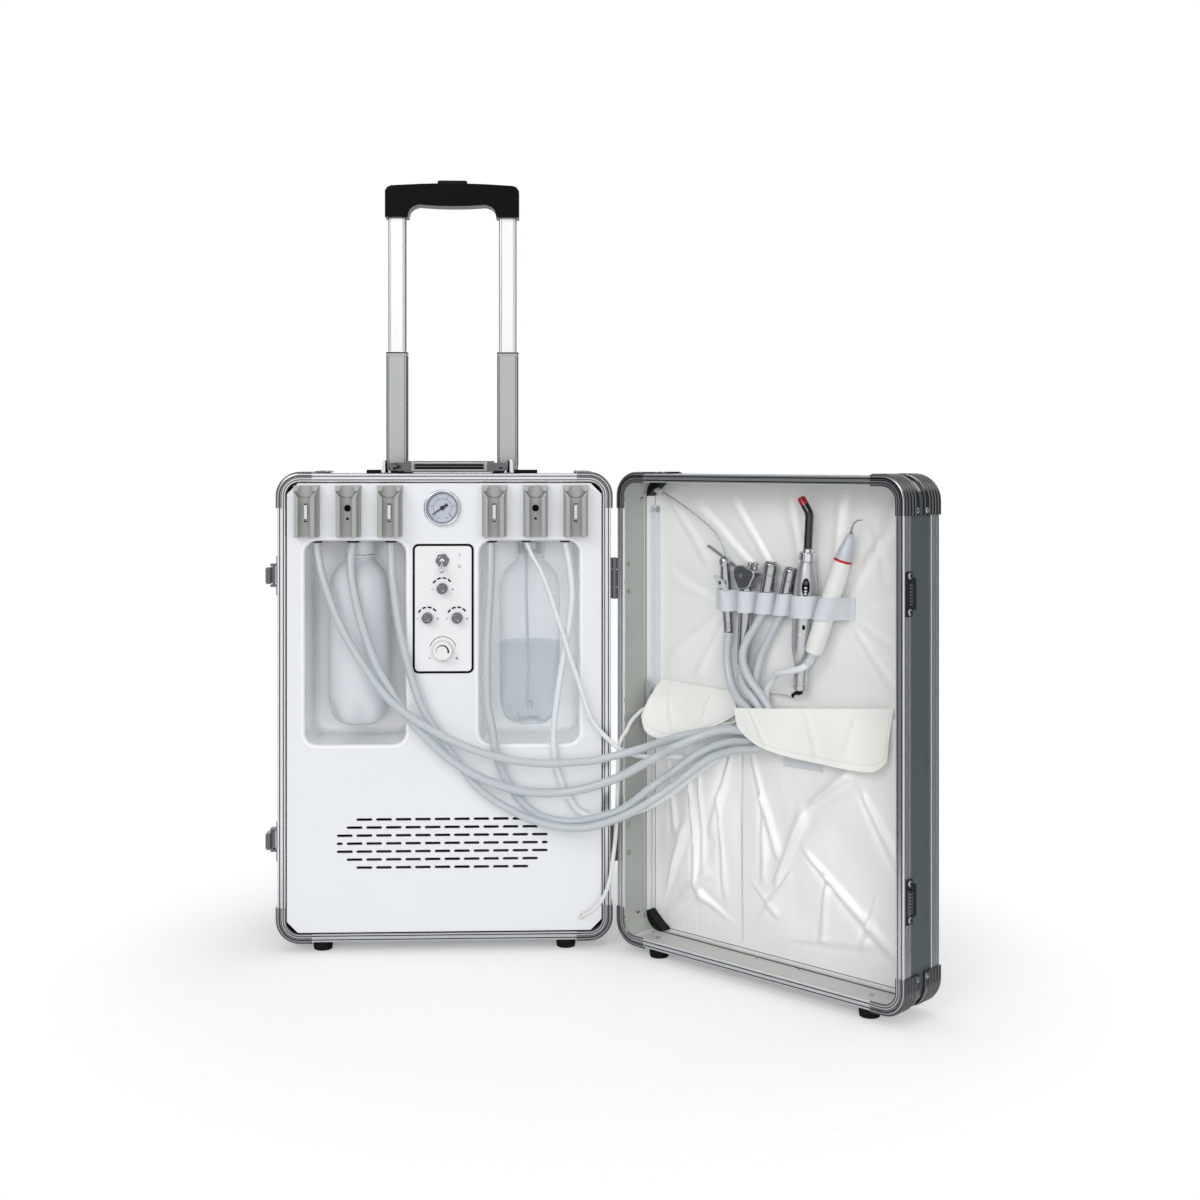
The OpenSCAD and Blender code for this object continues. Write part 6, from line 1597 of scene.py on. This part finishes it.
def flap_cloth(name, top, edge, nc, folds, tag):
    a, b = smooth_line(top, nc), smooth_line(edge, nc)
    rows = []
    nr = 44
    for i in range(nr + 1):
        t = i / nr
        k = math.sin(math.radians(90 * t))
        row = []
        for j in range(nc + 1):
            s = j / nc
            p, q = a[j], b[j]
            u = p[0] + (q[0] - p[0]) * t
            v = p[1] + (q[1] - p[1]) * (0.35 * t + 0.65 * k) + 0.8 * t * math.sin(math.radians(900 * s))
            z = p[2] + (q[2] - p[2]) * t
            f = sum(ridge(u, z, *g_) for g_ in folds)
            f += (0.5 * noise.noise(Vector((u * 0.05, z * 0.05, 4.4)))) * soft(t, 0, 0.3)
            # a hem: the cloth stands a little proud along its free edge
            hem = 0.5 * (1 - soft((1 - t) * 40, 2.2, 3.4)) - 0.35 * math.exp(-((1 - t) * 40 - 3.6) ** 2 / 0.5)
            row.append((u, v - f - hem, z))
        rows.append(row)
    o = grid_mesh(name, rows, 0.9, FLAP, LID)
    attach(o, "lid")
    if tag:
        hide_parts("pocket_flaps")
    return o, rows


fa, fa_rows = flap_cloth("flap_left", FA_TOP, FA_EDGE, 90, [(40, 300, 60, 250, 3, 0.7),
    (100, 300, 92, 262, 3, 0.6)], True)
fb, fb_rows = flap_cloth("flap_right", FB_TOP, FB_EDGE, 130,
                         [(170, 296, 200, 252, 3, 0.8), (240, 300, 262, 246, 4, 0.7), (300, 304, 292, 246, 4, 0.6)],
                         False)


# ---------- stitches ----------
def stitches(name, q, step=3.2, ln=2.1, r=0.28, lift=0.25):
    """A row of short threads along the points q, raised off the cloth."""
    q = [Vector(p) for p in q]
    out, parts = Vector((0, -1, 0)), []
    seg = [(a, b, (b - a).length) for a, b in zip(q, q[1:])]
    total = sum(x[2] for x in seg)

    def at(d):
        for a, b, w in seg:
            if d <= w:
                return a + (b - a) * (d / w if w else 0)
            d -= w
        return q[-1]
    d = 0.6
    while d + ln < total:
        a, b = at(d), at(d + ln)
        c = (a + b) / 2
        parts.append(sweep([a - out * 0.15, a + out * lift * 0.8, c + out * lift, b + out * lift * 0.8,
            b - out * 0.15],
                           r, 5))
        d += step
    if parts:
        make(name, join(*parts), THREAD, "lid", LID, recalc=False, weighted=False)


stitches("stitch_flap_a", fa_rows[39][2:-2])
stitches("stitch_flap_b", fb_rows[39][2:-2])
stitches("stitch_flap_a_side", [r_[2] for r_ in fa_rows[2:40]])
stitches("stitch_flap_b_side", [r_[2] for r_ in fb_rows[2:40]])
stitches("stitch_flap_b_end", [r_[-3] for r_ in fb_rows[2:40]])
stitches("stitch_pocket_a", pa_rows[106][1:-1])
stitches("stitch_pocket_b", pb_rows[106][1:-1])
stitches("stitch_pocket_seam", [r_[1] for r_ in pb_rows[10:-3]])
stitches("stitch_pocket_a_seam", [r_[-2] for r_ in pa_rows[10:-3]])

# ---------- tool strap ----------
TOOLS = [(S0, S1, 6.5), (Y0, Y1, 7.5), ((178.3, 49.5, 400), (188.5, 49.5, 451.5), 8), ((203.4, 49.5, 400),
    (215.4, 49.5, 446.2), 8),
         (G0, G1, 12.5), (K0, K1, 10)]


def leave(w, h, r_):
    return math.degrees(math.atan2(h, w) - math.acos(min(1, r_ / math.hypot(w, h))))


def strap_line(z, n=18):
    q = [(SEAMS[0] - 5, base_lining(SEAMS[0] - 5, z) - 1.7)]
    for i in range(6):
        a, b, tr = TOOLS[i]
        f = (z - a[2]) / (b[2] - a[2])
        cu, cv = a[0] + (b[0] - a[0]) * f, a[1] + (b[1] - a[1]) * f
        r_ = 1.05 * tr + 1.8
        h = base_lining(cu, z) - 1.7 - cv
        la, lb = leave(cu - SEAMS[i], h, r_), leave(SEAMS[i + 1] - cu, h, r_)
        q.append((SEAMS[i], base_lining(SEAMS[i], z) - 1.7))
        for k in range(n + 1):
            t = math.radians(180 - la + k / n * (180 + la + lb))
            q.append((cu + r_ * math.cos(t), cv + r_ * math.sin(t)))
    q += [(u, base_lining(u, z) - 1.7) for u in (SEAMS[6], SEAMS[6] + 5)]
    # more points on the straight stretches
    out = []
    for a, b in zip(q, q[1:]):
        k = max(1, int(math.dist(a, b) / 2.2))
        out += [(a[0] + (b[0] - a[0]) * j / k, a[1] + (b[1] - a[1]) * j / k) for j in range(k)]
    return out + [q[-1]]


def resample(ln, n):
    d = [0]
    for a, b in zip(ln, ln[1:]):
        d.append(d[-1] + math.dist(a, b))
    out, k = [], 0
    for i in range(n):
        s = d[-1] * i / (n - 1)
        while k < len(d) - 2 and d[k + 1] < s:
            k += 1
        w = (s - d[k]) / (d[k + 1] - d[k]) if d[k + 1] > d[k] else 0
        out.append((ln[k][0] + (ln[k + 1][0] - ln[k][0]) * w, ln[k][1] + (ln[k + 1][1] - ln[k][1]) * w))
    return out


strap = []
for i in range(15):
    z = STRAP_Z + STRAP_H / 2 - STRAP_H * i / 14
    strap.append([(*p, z) for p in resample(strap_line(z), 420)])
o = grid_mesh("strap_form", strap, 0.9, WEB, LID)
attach(o, "lid")
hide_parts("loop_strap")
for k, u in enumerate(SEAMS):
    for j, du in enumerate((-1.6, 1.6)):
        v = base_lining(u, STRAP_Z) - 2.2
        stitches("stitch_strap_%d%d" % (k, j), [(u + du, v, STRAP_Z + 11.4), (u + du, v, STRAP_Z - 11.4)],
                 2.6, 1.8, 0.32, 0.4)

# the hook-and-loop patch on the right pocket, under its flap
patch = []
for i in range(7):
    row = []
    for j in range(15):
        u, z = 202 + 52 * j / 14, 242 - 12 * i / 6
        s, t = (u - 143) / 231, (296 - z) / 274
        row.append((u, pocket_base(143, 374, s, t)[1] - 1.6, z))
    patch.append(row)
o = grid_mesh("hook_patch", patch, 1.0, WEB, LID)
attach(o, "lid")

# ---------- hoses and the light's cord ----------


ROUTES = {
    "hose_1": (9, [
        C(-148.2, 12, 479), C(-148.2, 12, 469), C(-143.9, 5, 447), C(-136.5, -3, 421.2),
        C(-117.9, -15, 376.5), C(-90.6, -26, 332.3), C(-57.2, -36.5, 291.8), C(-10.3, -43.5, 260.1),
        C(45.8, -46, 235.4), C(101.9, -49, 224.4), C(157.9, -54, 226.4), C(185.8, -57, 231.5),
        C(221.5, -61, 241.5), L(74.2, 17, 249.4), L(90.1, 28, 254.9), L(107.4, 37, 258.7),
        L(124.2, 43, 262.1), L(142.3, 47, 264.9), L(154, 49, 277), L(160.5, 48.9, 291),
        L(164.5, 48.6, 311), L(172.8, 49.3, 345), L(186, 49.3, 370), L(202.9, 49.5, 398.5)]),
    "hose_2": (10, [
        C(-106.3, 12, 479), C(-106.3, 12, 469), C(-107.8, 5, 445.8), C(-104.7, -2, 418.7),
        C(-93.4, -11, 376), C(-76.6, -19, 331.3), C(-60.3, -24, 303.5), C(-39.6, -28.5, 272.4),
        C(-14.5, -32.5, 246.3), C(11.6, -35, 223.5), C(45.5, -37, 204.4), C(83.8, -39, 192.1),
        C(121, -42, 189.1), C(158.1, -48, 194.6), C(196, -56, 208.3), C(221.3, -63, 222.9),
        C(239.9, -69, 234), L(85.2, 4, 241.7), L(100.8, 15, 250.6), L(113, 23, 257.2),
        L(128.6, 28.5, 262.8), L(143.8, 32.5, 265.7), L(158.3, 35.5, 265.9), L(165.5, 37.5, 268.5),
        L(171, 38.2, 278), L(165.5, 38.3, 289), L(151, 39.5, 299), L(136, 43.8, 316), L(126.8, 48.8, 343),
        L(128.4, 50, 369.6)]),
    "hose_4": (9.5, [
        C(52.9, 12, 479), C(52.9, 12, 469), C(53.1, 4, 442), C(51.6, -3, 403.4), C(48.9, -7, 352.1),
        C(49.1, -11, 290.7), C(53.7, -13, 263.6), C(60.6, -15.5, 225.1), C(73.2, -17.5, 195.7),
        C(89.2, -19.5, 174.3), C(107.4, -22, 159.9), C(127.9, -26, 154.4), C(150.5, -32, 154.4),
        C(177.5, -41, 161.4), C(205.3, -49, 173.1), C(236.2, -57.5, 199.3), L(80.4, 8, 213),
        L(99.4, 22, 231), L(113.1, 30, 240.6), L(127.7, 35, 247.3), L(143.3, 38.5, 251.6),
        L(163.5, 39.5, 253.9), L(176, 39.4, 260), L(184.5, 39.3, 272), L(183, 39, 287), L(173, 38.5, 301),
        L(161, 38.6, 311), L(151.5, 43.7, 320), L(147.8, 48.6, 328), L(148.1, 50, 334.8)]),
    "hose_3": (9, [
        C(-62.5, 12, 479), C(-62.5, 12, 469), C(-61.2, 4, 443.4), C(-59.1, -1, 420.8), C(-52.1, -7, 375.4),
        C(-41, -12, 330.2), C(-25.8, -17, 285.2), C(-5.1, -21.5, 251.7), C(16.7, -25, 220.4),
        C(36, -27, 195.7), C(55.3, -28.5, 179.9), C(73.5, -30, 169.4), C(92.8, -32, 160),
        C(112, -34, 153.5), C(130.1, -37.5, 150.2), C(149.2, -42, 149.4), C(168.2, -47, 152.1),
        C(202.7, -56, 165.1), C(240.2, -65, 188.6), L(99, 12, 212.2), L(110.3, 21, 223.6),
        L(123.7, 27.5, 233.4), L(141.2, 30.5, 240.2), L(159.6, 32, 245.1), L(179.1, 33.5, 248.4),
        L(192, 36, 256), L(199, 38, 271), L(196, 38.6, 289), L(184, 38.9, 305), L(169, 38.6, 320),
        L(160, 37.6, 335), L(157.5, 37.8, 350), L(160.5, 40.5, 364), L(168.5, 46, 380.5),
        L(177.6, 49.5, 398.3)]),
    "hose_5": (5.5, [
        C(94, 14, 479), C(94, 14, 469), C(101.6, 8, 452), C(109.7, 2, 438.5), C(118.9, -5, 416),
        C(128.1, -10, 388.8), C(137.2, -13, 361.6), C(144, -14, 338.8), C(153.2, -15, 312.5),
        C(166.9, -17, 271.5), C(178.3, -19, 254.7), C(191.5, -22, 242), C(204.2, -27, 233.1),
        L(32.6, 6, 225.7), L(51.2, 16, 225.6), L(71.7, 27, 226.7), L(95.6, 39, 228.1), L(140, 49, 254),
        L(158, 50.5, 258), L(166, 50.8, 261)]),
    "hose_6": (7.5, [
        C(138.7, 14, 479), C(138.7, 14, 469), C(143.2, 6, 447.4), C(146.6, -0.5, 410.9),
        C(143.1, -2.5, 374.2), C(135, -3.5, 328.3), C(128.1, -5, 281.3), C(125.2, -6, 248.1),
        C(128.1, -7, 213.8), C(137.2, -9, 187.7), C(150.9, -14, 165.8), C(169, -22, 157.1),
        C(191.4, -32, 157.5), C(222.5, -44, 169.6), L(62.4, 3, 177.4), L(75.1, 16, 189.1),
        L(90.9, 27, 205.5), L(110.9, 38, 223.5), L(143, 47.5, 247), L(160, 50, 245.5), L(175, 50.5, 252),
        L(183, 50, 270), L(182, 49.4, 291), L(181.5, 48.6, 309), L(191, 46, 321), L(199, 41, 330),
        L(212, 34.5, 335), L(228, 31.2, 338.5), L(241, 32.2, 342.5), L(248.3, 35.3, 349),
        L(251.2, 37.9, 356.8)]),
    "light_cord": (4.5, [
        C(157, 16, 38.3), C(157, 6, 38.3), C(157.6, -4, 38.5), C(164.8, -11, 43.9), C(178.4, -14, 56.7),
        C(188.7, -16, 80), C(193.8, -16, 112), C(196.7, -15, 140.4), C(198.5, -14, 179.1),
        C(199.1, -13, 216.8), L(14.2, -6, 241.1), L(18.7, 1, 254.5), L(16.4, 10, 263), L(16.2, 21, 269.5),
        L(17.2, 31, 274.5), L(22.5, 38.5, 276.5), L(33, 43.5, 275.5), L(49, 47.3, 272.5), L(80, 49.5, 270),
        L(100, 51.2, 268.5), L(118, 52.5, 266.5), L(130, 53.6, 268.5), L(140, 54.8, 275), L(147, 55, 286),
        L(153, 55.6, 297), L(162, 56.2, 304), L(175, 56.4, 307.5), L(192, 55.5, 309.5), L(206, 52, 310),
        L(220, 48.7, 309.3), L(228, 47, 314.5)]),
}


def hose(node, material):
    dia, pts = ROUTES[node]
    q = spline(pts, 8)
    # even spacing keeps the surface smooth
    d = [0]
    for a, b in zip(q, q[1:]):
        d.append(d[-1] + (b - a).length)
    n = max(8, int(d[-1] / 0.004))
    e, k = [], 0
    for i in range(n + 1):
        s = d[-1] * i / n
        while k < len(d) - 2 and d[k + 1] < s:
            k += 1
        e.append(q[k].lerp(q[k + 1], (s - d[k]) / (d[k + 1] - d[k])))
    v, f = sweep(e, dia / 2000, 20)
    me = bpy.data.meshes.new(node + "_form")
    me.from_pydata(v, [], f)
    for p in me.polygons:
        p.use_smooth = True
    me.set_sharp_from_angle(angle=math.radians(60))
    me.materials.append(material)
    o = link(bpy.data.objects.new(node + "_form", me))
    o["route"] = len(e)
    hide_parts(node)
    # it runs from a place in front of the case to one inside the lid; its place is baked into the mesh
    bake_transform(o)
    return e


ENDS = {}
for node in ("hose_1", "hose_2", "hose_3", "hose_4", "hose_5", "hose_6"):
    ENDS[node] = hose(node, HOSE_WHITE if node in ("hose_5", "hose_6") else HOSE)
ENDS["light_cord"] = hose("light_cord", CORD)

# strain reliefs where the lines meet their tools, and the cord's bush in the panel
for node, rr, n in (("hose_1", 4.5, 3), ("hose_2", 5, 3), ("hose_3", 4.5, 3), ("hose_4", 4.75, 3), ("hose_6", 3.75,
    5), ("light_cord", 2.25, 5)):
    e = ENDS[node]
    a, b = lid_of(e[-1]), lid_of(e[-4])
    m = LID @ along(a, b)
    prof = [(-1.4, 0), (-1.4, rr + 1.0)]
    for k in range(n):
        prof += [(1.0 + 2 * k, rr + 1.0 - 0.12 * k), (1.3 + 2 * k, rr + 0.45), (2.1 + 2 * k, rr + 0.45),
            (2.4 + 2 * k, rr + 0.9 - 0.12 * k)]
    prof += [(2.4 + 2 * n, rr + 0.3), (2.4 + 2 * n, rr - 0.2)]
    make(node + "_relief", lathe(prof, 32), BLACK if node == "light_cord" else NOSE, "lid", m, angle=40)
make("cord_bush", lathe([(-1.5, 3.4), (-1.5, 5.2), (0.6, 5.2), (1.4, 4.6), (1.6, 3.6), (1.6, 2.4), (-1.5, 2.4)],
    32), IVORY, "case",
     CASE @ out_of_panel(157, 38.3, 2.0))
